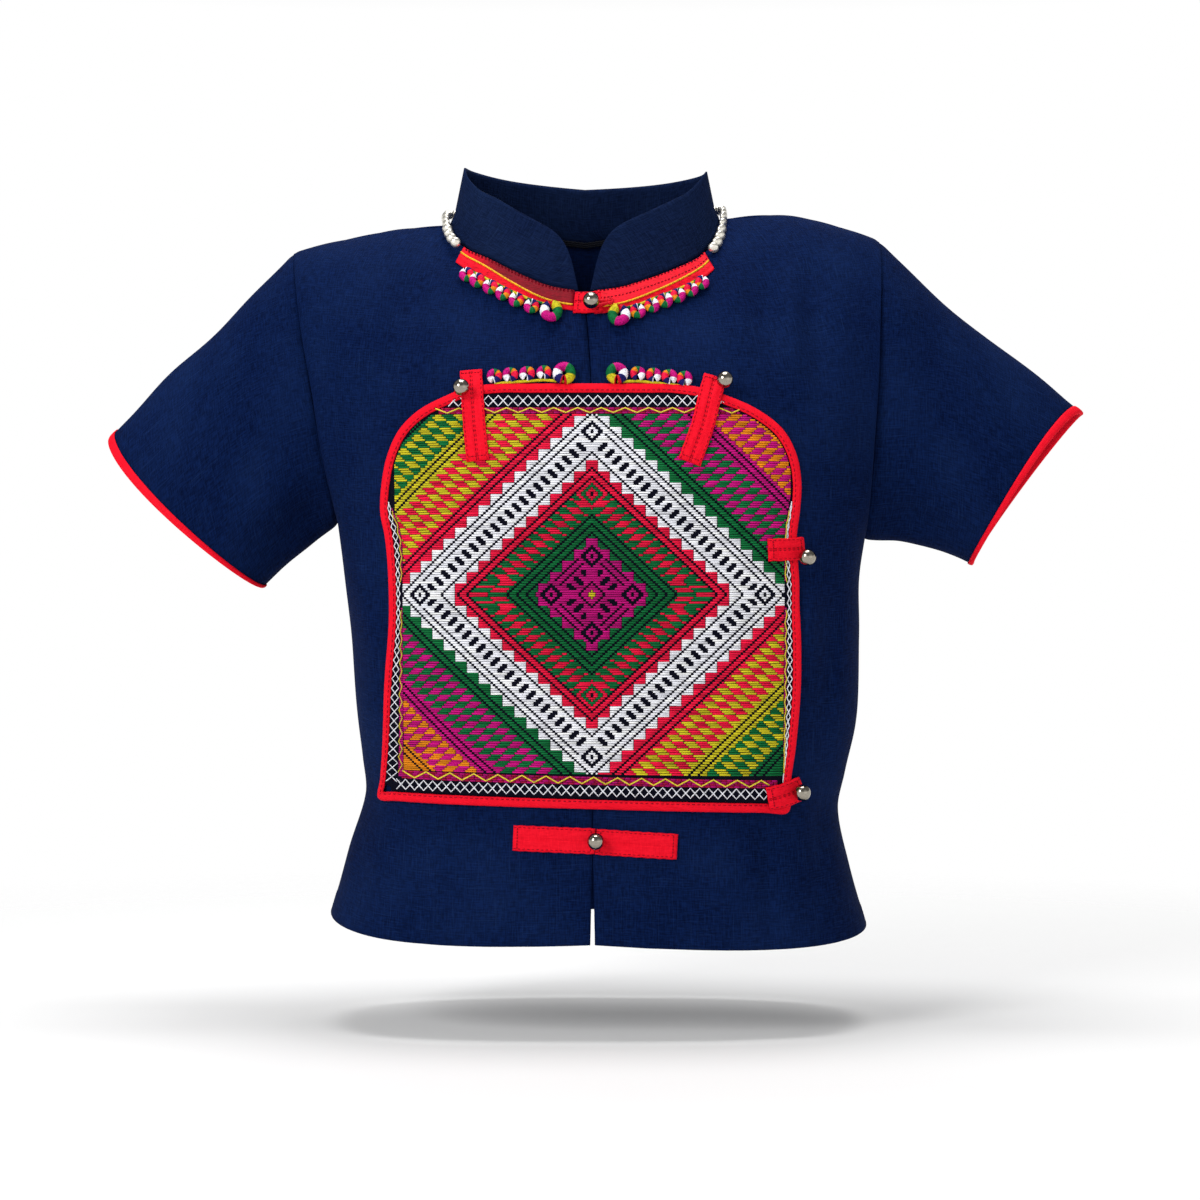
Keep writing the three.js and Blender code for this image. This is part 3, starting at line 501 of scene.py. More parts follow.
def wovenCloth(name, base, light, dark, slubs=1.0, roughness=0.9):
    n = Nodes(name)
    weft = n.noise(n.coordinates(scale=(150, 1150, 1)), 1, 3, 0.6)
    warp = n.noise(n.coordinates(scale=(1150, 130, 1)), 1, 3, 0.6)
    grain = n.maths("ADD", n.maths("MULTIPLY", weft, 0.5), n.maths("MULTIPLY", warp, 0.5))
    slubX = n.ramp(n.noise(n.coordinates(scale=(34, 1500, 1)), 1, 1, 0.4), (0.62, 0.0), (0.74, 1.0))
    slubY = n.ramp(n.noise(n.coordinates(scale=(1500, 26, 1)), 1, 1, 0.4), (0.62, 0.0), (0.74, 1.0))
    slub = n.maths("MULTIPLY", n.maths("MAXIMUM", slubX, slubY), slubs)
    cloud = n.noise(n.coordinates(scale=(14, 14, 1)), 1, 2, 0.5)
    colour = n.mix(n.ramp(grain, (0.41, 0.0), (0.6, 1.0)), dark, base)
    colour = n.mix(n.maths("MULTIPLY", slub, 0.16), colour, light)
    colour = n.mix(n.maths("MULTIPLY", n.ramp(cloud, (0.4, 0.0), (0.75, 1.0)), 0.12), colour, light)
    relief = n.maths("ADD", grain, n.maths("MULTIPLY", slub, 0.5))
    return n.set(
        Base_Color=colour, Roughness=roughness, Normal=n.bump(relief, 0.00035, 0.8),
        Specular_IOR_Level=0.03,
    )


def plainThread(name, roughness=0.6, stretch=(60, 60, 1700)):
    n = Nodes(name)
    strands = n.noise(n.coordinates("Object", stretch), 1, 2, 0.5)
    base = n.add("Attribute", attribute_name="tint").outputs["Color"]
    shade = n.ramp(strands, (0.34, 0.58), (0.56, 1.0))
    return n.set(
        Base_Color=n.mix(1.0, base, shade, "MULTIPLY"), Roughness=roughness,
        Normal=n.bump(strands, 0.0002, 0.7), Specular_IOR_Level=0.08,
    )


navyCloth = wovenCloth("navy cloth", (0.0026, 0.0112, 0.060), (0.017, 0.048, 0.170), (0.0008, 0.0040, 0.024))
collarCloth = wovenCloth(
    "collar cloth", (0.0048, 0.0122, 0.048), (0.020, 0.045, 0.125), (0.0018, 0.0052, 0.022)
)
redCloth = wovenCloth(
    "red cloth", (0.84, 0.0080, 0.024), (0.92, 0.020, 0.045), (0.70, 0.004, 0.016), 0.4, 0.75
)
groundCloth = wovenCloth(
    "black ground", (0.0042, 0.0045, 0.011), (0.012, 0.012, 0.022), (0.002, 0.002, 0.006), 0.3
)
floatThread = plainThread("float thread")
fineThread = plainThread("fine thread", 0.55, (900, 900, 900))
steel = Nodes("polished steel").set(Base_Color=(0.33, 0.30, 0.25, 1), Metallic=1.0, Roughness=0.15)
silver = Nodes("silver")
silver.set(
    Base_Color=(0.80, 0.77, 0.69, 1), Metallic=0.85, Roughness=0.30,
    Normal=silver.bump(silver.noise(silver.coordinates("Object", (900, 900, 900)), 1, 2), 0.0003, 0.6),
)
silver = silver.material
print("materials made")

colours = {
    "white": linear((244, 245, 252)), "red": linear((236, 24, 66)), "green": linear((12, 108, 56)),
    "magenta": linear((198, 16, 124)), "yellow": linear((202, 190, 34)), "orange": linear((226, 136, 22)),
    "navy": linear((24, 22, 92)), "crimson": linear((200, 16, 34)),
}


# Body pieces.
def seamDip(distance, depth=0.9, reach=2.6):
    return -depth * np.exp(-((distance / reach) ** 2))


# A slight unevenness of worn linen, in millimetres.
def crumple(points, seed, size=0.42):
    x, y, z = points[..., 0], points[..., 1], points[..., 2]
    waves = np.sin(x / 8.5 + 1.7 * np.sin(z / 37 + seed)) * np.sin(z / 26 + 0.6 * seed + x / 60)
    slanting = np.sin((x + 0.5 * z) / 13.0 + seed) * np.sin((z - 0.7 * x) / 21 + 2.1 * np.sin(y / 40))
    waves = waves + 0.7 * slanting
    return size * waves


def bodyGrid(side, face, count=(34, 74, 150)):
    near, far, high = count
    across = np.concatenate([np.linspace(0, neck["share"], near)[:-1], np.linspace(neck["share"], 1, far)])
    up = np.linspace(0, 2, high)
    points = bodyPoint(side, face, across[None, :], up[:, None])
    normal = gridNormals(points, np.array([0, 0, -230]))
    uv = gridUv(points)
    fromArm = uv[:, -1:, 0] - uv[..., 0]
    fromTop = uv[-1:, :, 1] - uv[..., 1]
    rise = seamDip(fromArm) + seamDip(fromTop) + crumple(points, side * face)
    rise += np.where(uv[..., 1] < 13, 0.35 * smoothStep(uv[..., 1], 13, 11.6), 0)
    if face < 0:
        rise += seamDip(uv[..., 0], 0.7, 1.8)
    points = points + normal * rise[..., None]
    return points, normal, uv * np.array([side, 1])


def closeSeam(points, distance):
    edge = points[:, -1]
    edge += unit(points[:, -2] - edge) * distance
    top = points[-1]
    top += unit(points[-2] - top) * distance


def frontSplitGap(up):
    return 0.3 + 1.1 * np.clip((0.2 - up) / 0.2, 0, 1)


def makeFront(side):
    points, normal, uv = bodyGrid(side, -1)
    up = np.linspace(0, 2, len(points))
    shift = frontSplitGap(up)[:, None] * np.exp(-np.abs(uv[..., 0]) / 6)
    points[..., 0] += side * shift
    closeSeam(points, 0.02)
    obj = wallMesh("front" + sideKey(side).capitalize(), points, points - normal * 1.3, navyCloth, uv)
    place(obj, "navy_cloth", "front_" + sideKey(side))


for side in (-1, 1):
    makeFront(side)


def makeBack():
    left, leftNormal, leftUv = bodyGrid(-1, 1)
    right, rightNormal, rightUv = bodyGrid(1, 1)
    for half in (left, right):
        closeSeam(half, 0.02)
    join = lambda a, b: np.concatenate([a[:, :0:-1], b], 1)
    points, normal, uv = join(left, right), join(leftNormal, rightNormal), join(leftUv, rightUv)
    middle = left.shape[1] - 1
    normal[:, middle] = unit(normal[:, middle - 1] + normal[:, middle + 1])
    obj = wallMesh("backCloth", points, points - normal * 1.3, navyCloth, uv)
    place(obj, "navy_cloth", "back")


makeBack()
print("body made")

# Folds of a sleeve as (side, turn, along from, along to, width in turn, width in along, rise).
sleeveFolds = [
    (-1, 0.55, 0.35, 0.30, 0.30, -4.0), (-1, 1.05, 0.75, 0.20, 0.5, 1.6), (-1, 1.9, 0.10, 0.22, 0.16, 1.6),
    (1, 0.6, 0.40, 0.26, 0.35, -3.4), (1, 1.35, 0.8, 0.22, 0.4, 1.4), (1, 2.2, 0.12, 0.25, 0.18, 1.6),
    (-1, 5.2, 0.4, 0.3, 0.4, -3.0), (1, 5.3, 0.35, 0.3, 0.4, -3.0), (-1, 4.3, 0.6, 0.3, 0.4, 1.6),
    (1, 4.2, 0.55, 0.3, 0.4, 1.8),
]


def sleeveSurface(side, along, turn):
    points = sleevePoint(side, along, turn)
    middle = (sleevePoint(side, along, 0) + sleevePoint(side, along, np.pi)) / 2
    outward = unit((points - middle) * np.array([1, 1.6, 1]))
    rise = 0
    for foldSide, at, where, wide, long, height in sleeveFolds:
        if foldSide == side:
            shape = np.exp(-(((turn - at) / wide) ** 2) - ((along - where) / long) ** 2)
            rise = rise + foldStrength * height * shape
    fade = smoothStep(along, 0.0, 0.12) * smoothStep(1 - along, 0.0, 0.2)
    return points + outward * (rise * fade)[..., None]


def makeSleeve(side):
    turns = np.linspace(0, 2 * np.pi, 120, endpoint=False)
    reach = np.linalg.norm(sleevePoint(side, 0, np.pi) - sleevePoint(side, 1, np.pi))
    along = np.linspace(0, 1 - 4.5 / reach, 64)
    points = sleeveSurface(side, along[:, None], turns[None, :])
    middle = np.array([side * 240.0, 0, -140])
    normal = gridNormals(points, middle, True)
    uv = gridUv(closed(points))[:, :-1]
    rise = seamDip(uv[..., 1], 0.9, 2.6) + crumple(points, side, 0.5) * smoothStep(1 - along, 0, 0.1)[:, None]
    points = points + normal * rise[..., None]
    points[0] += unit(points[1] - points[0]) * 0.02
    name = sideKey(side).capitalize()
    obj = wallMesh("sleeve" + name, points, points - normal * 1.3, navyCloth, uv, True)
    place(obj, "navy_cloth", "sleeve_" + sideKey(side))

    # The binding is a strip folded round the cuff: share of its width from the seam, and height.
    over = [(0, 0.3), (0.02, 0.9), (0.3, 1.15), (0.7, 1.15), (0.93, 0.8), (1.0, -0.3),
            (0.93, -1.3), (0.7, -1.7), (0.3, -1.8), (0.02, -1.7), (0, -1.4)]
    beneath = [(0.03, 0.3), (0.05, 0.5), (0.3, 0.65), (0.7, 0.65), (0.85, 0.45), (0.9, -0.3),
               (0.85, -0.95), (0.7, -1.2), (0.3, -1.3), (0.05, -1.3), (0.04, -1.3)]
    width = 5.9 / reach
    centre = (sleevePoint(side, 1, 0) + sleevePoint(side, 1, np.pi)) / 2

    def rings(fold):
        made = []
        for share, height in fold:
            ring = sleevePoint(side, np.full_like(turns, 1 - width * (1 - share)), turns)
            made.append(ring + unit((ring - centre) * np.array([1, 1.6, 1])) * height)
        return np.array(made)

    outer = rings(over)
    around = gridUv(closed(outer))[:, :-1]
    binding = wallMesh("cuffBinding" + name, outer, rings(beneath), redCloth, around, True)
    place(binding, "red_cloth", "cuff_binding_" + sideKey(side))


for side in (-1, 1):
    makeSleeve(side)


# Collar.
def makeCollar():
    perMm = 360 / (math.pi * (neck["halfWidth"] + neck["halfDepth"]))
    first = collar["opening"] * perMm
    half = first + (180 - first) * np.linspace(0, 1, 110) ** 1.35
    degrees = np.concatenate([half, 360 - half[-2::-1]])
    turn = np.minimum(degrees, 360 - degrees)
    fromEdge = (turn - first) / perMm
    key = np.where(degrees > 180, 1, 0)
    whole = np.where(
        key, readTable(collarHeights, "angle", "left", turn), readTable(collarHeights, "angle", "right", turn)
    )
    x = np.clip(fromEdge / collar["cornerWidth"], 0, 1)
    power = collar["cornerPower"]
    height = collar["cornerLow"] + (whole - collar["cornerLow"]) * (1 - (1 - x) ** power) ** (1 / power)
    share = np.linspace(0, 1, 18)[:, None]
    up = height[None, :] * share
    spread = collar["spread"] * up * np.exp(-fromEdge / collar["spreadReach"]) * np.where(key, -1, 1) * perMm
    a = np.radians(degrees)
    outward = np.stack([np.sin(a), -np.cos(a), np.zeros_like(a)], -1)
    base = necklinePoint((degrees[None, :] + spread) % 360)
    leanTurn = np.radians(degrees + spread)
    lean = np.stack([np.sin(leanTurn), -np.cos(leanTurn), 0 * spread], -1)
    points = base - lean * (collar["inward"] * up)[..., None]
    points[..., 2] += collar["rise"] * up + 0.25 * (1 - share[:, 0:1]) ** 6
    flare = 1.6 * np.exp(-(((up) / 3.2) ** 2)) * smoothStep(turn, 60, 80)
    points += outward[None] * flare[..., None]
    wall = collar["wall"] * np.sqrt(np.clip(1 - ((share - 0.94) / 0.06).clip(0, 1) ** 2, 0.1, 1))
    inner = points - outward[None] * wall[..., None]
    inner[0, :, 2] -= 0.8
    uv = gridUv(points)
    obj = wallMesh("standCollar", points, inner, collarCloth, uv)
    place(obj, "navy_cloth", "collar")


makeCollar()
print("sleeves and collar made")


# Threads, cords and small pieces, gathered into joined meshes.
class Pile:
    def __init__(self):
        self.points, self.faces, self.tints, self.count = [], [], [], 0

    def add(self, points, faces, tint=(1, 1, 1)):
        points = np.asarray(points, float).reshape(-1, 3)
        self.points.append(points)
        self.faces.append(np.asarray(faces) + self.count)
        self.tints.append(np.broadcast_to(np.asarray(tint, float), points.shape))
        self.count += len(points)

    # A round cord through a line of points; radius and tint may change along it.
    def cord(self, line, radius, tint, sides=8, closed=False, facing=(0.05, -1, 0.1)):
        line = np.asarray(line, float)
        n = len(line)
        if closed:
            tangent = unit(np.roll(line, -1, 0) - np.roll(line, 1, 0))
        else:
            tangent = unit(np.gradient(line, axis=0))
        aside = unit(np.cross(tangent, np.asarray(facing, float)))
        over = np.cross(aside, tangent)
        a = np.arange(sides) / sides * 2 * np.pi
        radius = np.broadcast_to(np.asarray(radius, float), (n,))[:, None, None]
        ring = aside[:, None] * np.cos(a)[None, :, None] + over[:, None] * np.sin(a)[None, :, None]
        points = line[:, None] + ring * radius
        if closed:
            rows = np.arange(n)[:, None]
            j = np.arange(sides)
            a0, a1 = rows * sides + j, rows * sides + (j + 1) % sides
            b0, b1 = (rows + 1) % n * sides + j, (rows + 1) % n * sides + (j + 1) % sides
            faces = np.stack([a0, a1, b1, b0], -1).reshape(-1, 4)
        else:
            points = np.concatenate([np.broadcast_to(line[:1, None], (1, sides, 3)), points,
                                     np.broadcast_to(line[-1:, None], (1, sides, 3))])
            faces = gridFaces(n + 2, sides, 0, True)
            tint = np.asarray(tint, float)
            if tint.ndim == 2:
                tint = np.concatenate([tint[:1], tint, tint[-1:]])
        tint = np.asarray(tint, float)
        if tint.ndim == 2:
            tint = np.repeat(tint[:, None], sides, 1).reshape(-1, 3)
        self.add(points, faces, tint)

    # Stitches in a row along x and z points on the front.
    def stitches(self, line, height, tint, length=2.0, gap=1.4, width=0.45):
        line = np.asarray(line, float)
        run = np.concatenate([[0], np.cumsum(np.hypot(*np.diff(line, axis=0).T))])
        at = np.arange(0.4, run[-1] - length, length + gap)
        for start in at:
            steps = start + np.array([0, 0.5, 1]) * length
            x, z = np.interp(steps, run, line[:, 0]), np.interp(steps, run, line[:, 1])
            rise = np.interp(steps, run, np.broadcast_to(height, (len(line),)))
            self.cord(frontAt(x, z, rise + np.array([-0.1, 0.22, -0.1]))[0], width, tint, 5)

    def make(self, name, material, slot, *nodes):
        points, tints = np.concatenate(self.points), np.concatenate(self.tints)
        faces = [list(f) for part in self.faces for f in part.tolist()]
        obj = makeMesh(name, points, faces, material, None, tints)
        print(f"{name}: {len(faces)} faces")
        return place(obj, slot, *nodes)


# The bib: outline, ground cloth and binding.
def bibOutline(spacing=2.2):
    table = bibEdges
    right = [(x, z) for x, z in zip(table["right"], table["height"])]
    left = [(x, z) for x, z in zip(table["left"], table["height"])][::-1]
    tilted = lambda p: (p[0], p[1] - bib["tilt"] * p[0] if p[1] < bib["tiltFrom"] else p[1])
    bottom = [(x, table["height"][-1]) for x in (108, 79, 46, 10, -26, -62, -95, -122)]
    top = [(x, table["height"][0]) for x in (-40, -20, 0, 20, 36)]
    points = np.array([tilted(p) for p in top + right + bottom + left], float)
    count = len(points)
    made = []
    for i in range(count):
        a, b, c, d = (points[(i + k) % count] for k in (-1, 0, 1, 2))
        steps = max(2, int(np.hypot(*(c - b)) / spacing))
        ta, tb, tc = (max(np.hypot(*(q - p)), 1e-6) ** 0.5 for p, q in ((a, b), (b, c), (c, d)))
        mb = (c - b) / tb - (c - a) / (ta + tb) + (b - a) / ta
        mc = (d - c) / tc - (d - b) / (tb + tc) + (c - b) / tb
        t = (np.arange(steps) / steps)[:, None]
        made.append(b * (2 * t**3 - 3 * t**2 + 1) + mb * tb * (t**3 - 2 * t**2 + t)
                    + c * (3 * t**2 - 2 * t**3) + mc * tb * (t**3 - t**2))
    return np.concatenate(made)


bibEdge = bibOutline()


def bibInset(amount):
    before = unit(bibEdge - np.roll(bibEdge, 2, 0))
    after = unit(np.roll(bibEdge, -2, 0) - bibEdge)
    mean = unit(before + after)
    reach = amount / np.maximum(np.sum(mean * before, -1), 0.5)
    normal = frontAt(bibEdge[:, 0], bibEdge[:, 1])[1]
    level = -normal[:, 1] / np.hypot(normal[:, 0], normal[:, 1])
    return np.stack([bibEdge[:, 0] + mean[:, 1] * reach * level, bibEdge[:, 1] - mean[:, 0] * reach], -1)


# The left and right reach of an inset outline at given heights.
def reachAt(outline, z):
    mid = outline[:, 0].mean()
    result = []
    for sign in (-1, 1):
        part = outline[(outline[:, 0] - mid) * sign > 0]
        order = np.argsort(part[:, 1])
        result.append(np.interp(z, part[order, 1], part[order, 0]))
    return result


panelFace = bib["lift"] + bib["wall"]
threadSeat = panelFace - 0.28
innerEdge = bibInset(bib["binding"] + 0.3)


def makePanelGround():
    high, low = innerEdge[:, 1].max() - 0.02, bibEdges["height"][-1] + bib["binding"] + 0.4
    share = np.concatenate([np.linspace(0, 0.12, 24)[:-1], np.linspace(0.12, 1, 90)])
    z = high + (low - high) * share
    left, right = reachAt(innerEdge, np.maximum(z, low + 4))
    x = left[:, None] + (right - left)[:, None] * np.linspace(0, 1, 100)
    z = z[:, None] - bib["tilt"] * x * smoothStep(-z, 340, 374)[:, None]
    ripple = 0.12 * np.sin(x / 9 + z / 23) * np.sin(z / 11 - x / 31)
    points, normal = frontAt(x, z, panelFace - 0.25 + ripple)
    obj = wallMesh("panelGround", points, points - normal * 1.15, groundCloth, gridUv(points))
    place(obj, "embroidery", "chest_panel")


makePanelGround()


def makePanelBinding():
    width, top = bib["binding"], bib["lift"] + bib["bindingWall"]
    path = [(0.0, 1.3), (0.05, 2.3), (0.7, 3.1), (2.2, top), (3.9, top), (5.3, 3.2)]
    path += [(width, 2.6), (width, 2.0)]
    under = [(0.7, 1.3), (0.75, 2.0), (1.2, 2.4), (2.4, 2.9), (3.8, 2.9), (4.9, 2.5), (5.3, 2.1), (5.3, 1.9)]
    wave = 0.18 * np.sin(np.arange(len(bibEdge)) * 1.7) + 0.12 * np.sin(np.arange(len(bibEdge)) * 0.61)
    rows = lambda section: np.array([
        frontAt(*bibInset(inset + 0.25 * wave).T, height + wave * 0.4)[0] for inset, height in section
    ])
    outer, inner = rows(path), rows(under)
    around = gridUv(closed(outer))[:, :-1]
    obj = wallMesh("panelBinding", outer, inner, redCloth, around[..., ::-1], True)
    place(obj, "red_cloth", "panel_binding")
    line = bibInset(4.7)
    pile = Pile()
    pile.stitches(np.concatenate([line, line[:1]]), 3.42, linear((150, 10, 34)), 1.7, 1.5, 0.3)
    pile.make("panelBindingStitches", fineThread, "embroidery")


makePanelBinding()
print("bib made")

# The woven diamond: cells across are whole numbers, rows are halves.
pitchX, pitchZ, middleX, middleZ = 1.48, 1.384, -0.4, -246.1
# The block's top row, the line its upper bands hang from, and the room for the bands below it.
block = {"top": -134.2, "bandTop": -120.6, "bottomRoom": 15.2}


def lineAt(d, *places):
    return np.isin(np.round(d * 2) / 2, places)


def eyes(colour, u, v, outside, ring, inside):
    size = np.abs(u) + np.abs(v)
    colour[size <= 6.5] = outside
    colour[(size > 2.5) & (size <= 4.5)] = ring
    colour[size <= 2.5] = inside
    colour[size <= 0.5] = 0


def chart():
    u, v = np.meshgrid(np.arange(-84, 85), np.arange(-82.5, 83))
    a, b = np.abs(u), np.abs(v)
    d = a + b
    steps = np.round(a / 5) + np.floor(b / 5)
    group, inGroup = np.floor(b / 3), b - 0.5 - 3 * np.floor(b / 3)
    parity = np.floor((a + 3 * group - inGroup) / 5) % 2
    leaning = u * v < 0  # top left and bottom right
    names = ["black", "yellow", "magenta", "green", "red", "white", "orange"]
    black, yellow, magenta, green, red, white, orange = range(7)
    pick = lambda test, yes, no: np.where(test, yes, no)
    outer, middle, near = (
        pick(leaning, *pair) for pair in ((green, orange), (yellow, magenta), (red, green))
    )
    colour = pick(d <= 147, pick(parity == 0, middle, outer), outer)
    colour = pick(d <= 127.5, middle, colour)
    colour = pick(d <= 119, pick(parity == 0, near, middle), colour)
    colour = pick(d <= 94.5, near, colour)
    colour = pick(steps <= 16, white, colour)
    colour = pick(steps <= 11, red, colour)
    colour = pick(d <= 51.5, pick(parity == 0, red, green), colour)
    colour = pick(d <= 36.5, green, colour)
    colour = pick(steps <= 4, magenta, colour)
    # Fine black lines that part the bands, where the ground cloth shows.
    fineLines = (17.5, 21.5, 27.5, 31.5, 35.5, 52.5, 56.5, 63.5, 77.5, 81.5, 89.5, 93.5)
    colour[lineAt(d, *fineLines, 121.5, 125.5, 149.5, 153.5)] = black
    along = a - b
    for centre, spacing, reach in ((11.5, 6, 3), (70.5, 6, 3)):
        t = (along - centre) % spacing
        t = np.minimum(t, spacing - t)
        colour[(np.abs(d - centre) <= reach) & (t <= 1) & (np.minimum(a, b) > 2)] = black
    colour[lineAt(d, 5.5)] = black
    colour[d <= 4.5] = magenta
    colour[d <= 1.5] = yellow
    for cu, cv in ((0, 17), (0, -17), (17, 0), (-17, 0)):
        eyes(colour, u - cu, v - cv, magenta, black, magenta)
    for cu, cv in ((0, 45), (0, -45)):
        eyes(colour, u - cu, v - cv, red, green, red)
    for cu, cv in ((0, 73), (0, -73), (73, 0), (-73, 0)):
        eyes(colour, u - cu, v - cv, white, black, white)
    beside = (b < 6) & (d > 36.5) & (d <= 51.5)
    colour[beside] = pick(np.floor(b / 1.5 + (a + b > 44)) % 2 == 0, green, red)[beside]
    return u[0], v[:, 0], colour, names


# Where each column of the pattern lies, counted along the cloth.
arcX = np.arange(-140, 141, 1.0)


def arcPlaces(z):
    y = frontDepth(arcX[None, :] + 0 * z[:, None], z[:, None] + 0 * arcX[None, :])
    step = np.hypot(1, np.gradient(y, axis=1))
    run = np.cumsum((step[:, 1:] + step[:, :-1]) / 2, 1)
    run = np.concatenate([np.zeros((len(z), 1)), run], 1)
    return [r - np.interp(middleX, arcX, r) for r in run]


class Floats(Pile):
    # A lit bundle of threads from one x to another, its ends let into the ground cloth.
    def lay(self, x0, x1, z0, z1, tint, half=0.6, high=0.6):
        length = x1 - x0
        inner = max(2, int(np.ceil(length / 4)) + 1)
        end = min(0.3 / length, 0.3)
        share = np.concatenate([[0], np.linspace(end, 1 - end, inner), [1]])
        x, z = x0 + length * share, z0 + (z1 - z0) * share
        ends = (share > 0) & (share < 1)
        across = np.array([-1, -0.55, 0.55, 1])
        rise = np.array([0.05, 1, 1, 0.05])
        px = np.broadcast_to(x[:, None], (len(x), 4))
        pz = z[:, None] + across * half * np.where(ends, 1, 0.72)[:, None]
        self.rows.append((px, pz, np.where(ends, 1, 0.15)[:, None] * rise * high, tint))

    def __init__(self):
        super().__init__()
        self.rows = []

    def settle(self, face):
        sizesOf = [len(row[0]) for row in self.rows]
        x = np.concatenate([row[0] for row in self.rows])
        z = np.concatenate([row[1] for row in self.rows])
        rise = np.concatenate([row[2] for row in self.rows])
        points = frontAt(x, z, face + rise)[0]
        start = 0
        for size, row in zip(sizesOf, self.rows):
            self.add(points[start:start + size], gridFaces(size, 4), row[3])
            start += size
        self.rows = []


blockLeft, blockRight = -117.8, 118.8


# The block reaches the binding near the top, and leaves room for a border further down.
def blockAt(side, z, reach):
    straight = blockLeft if side < 0 else blockRight
    straight = np.maximum(straight, reach) if side < 0 else np.minimum(straight, reach)
    return reach + (straight - reach) * smoothStep(-np.asarray(z, float), 174, 222)


def makeDiamond():
    us, vs, colour, names = chart()
    floats = Floats()
    z = middleZ + pitchZ * vs
    arcs = arcPlaces(z)
    edge = bibInset(bib["binding"] + 0.9)
    left, right = reachAt(edge, z)
    lowest = bibEdges["height"][-1] + bib["binding"] + block["bottomRoom"]
    for row, height in enumerate(z):
        if height < lowest or height > block["top"]:
            continue
        tilt = bib["tilt"] * smoothStep(-height, 340, 374)
        low, high = left[row], right[row]
        low, high = (blockAt(side, height, reach) for side, reach in ((-1, low), (1, high)))
        line = colour[row]
        starts = np.flatnonzero(np.concatenate([[True], line[1:] != line[:-1]]))
        stops = np.append(starts[1:], len(line))
        for first, last in zip(starts, stops):
            name = names[line[first]]
            if name == "black":
                continue
            x0 = np.interp((us[first] - 0.5) * pitchX, arcs[row], arcX) + 0.1
            x1 = np.interp((us[last - 1] + 0.5) * pitchX, arcs[row], arcX) - 0.1
            x0, x1 = max(x0, low), min(x1, high)
            if x1 - x0 < 0.5:
                continue
            # Painted shade: the floats darken towards the middle of the panel, on top of a random tone for
            # each float.
            paintedCentreShade = math.exp(-(((x0 + x1) / 2 - 4) ** 2 + (height + 240) ** 2) / 62**2)
            shade = rng.uniform(0.76, 1.10) * (1.06 - 0.22 * paintedCentreShade)
            tint = np.minimum(colours[name] * (shade if name != "white" else 0.5 + shade / 2), 0.96)
            sway = rng.normal(0, 0.05, 2)
            floats.lay(x0, x1, height - tilt * x0 + sway[0], height - tilt * x1 + sway[1], tint)
    floats.settle(threadSeat)
    floats.make("diamondFloats", floatThread, "embroidery")


makeDiamond()


# Bands round the block: floats of magenta, with zigzags laid over them and on the black ground.
def zigzag(pile, x0, x1, place, period, swing, tint, width=0.36, face=panelFace + 0.25):
    count = int((x1 - x0) / (period / 2))
    at = x0 + np.arange(count + 1) * (x1 - x0) / max(count, 1)
    line = []
    for k in range(len(at) - 1):
        for t in np.arange(3) / 3:
            s = at[k] + (at[k + 1] - at[k]) * t
            line.append((s, swing * (1 - 2 * t) * (-1) ** k))
    line = np.array(line)
    x, z = place(line[:, 0], line[:, 1])
    points = frontAt(x, z, face + rng.normal(0, 0.03, len(x)))[0]
    pile.cord(points, width, tint, 5)


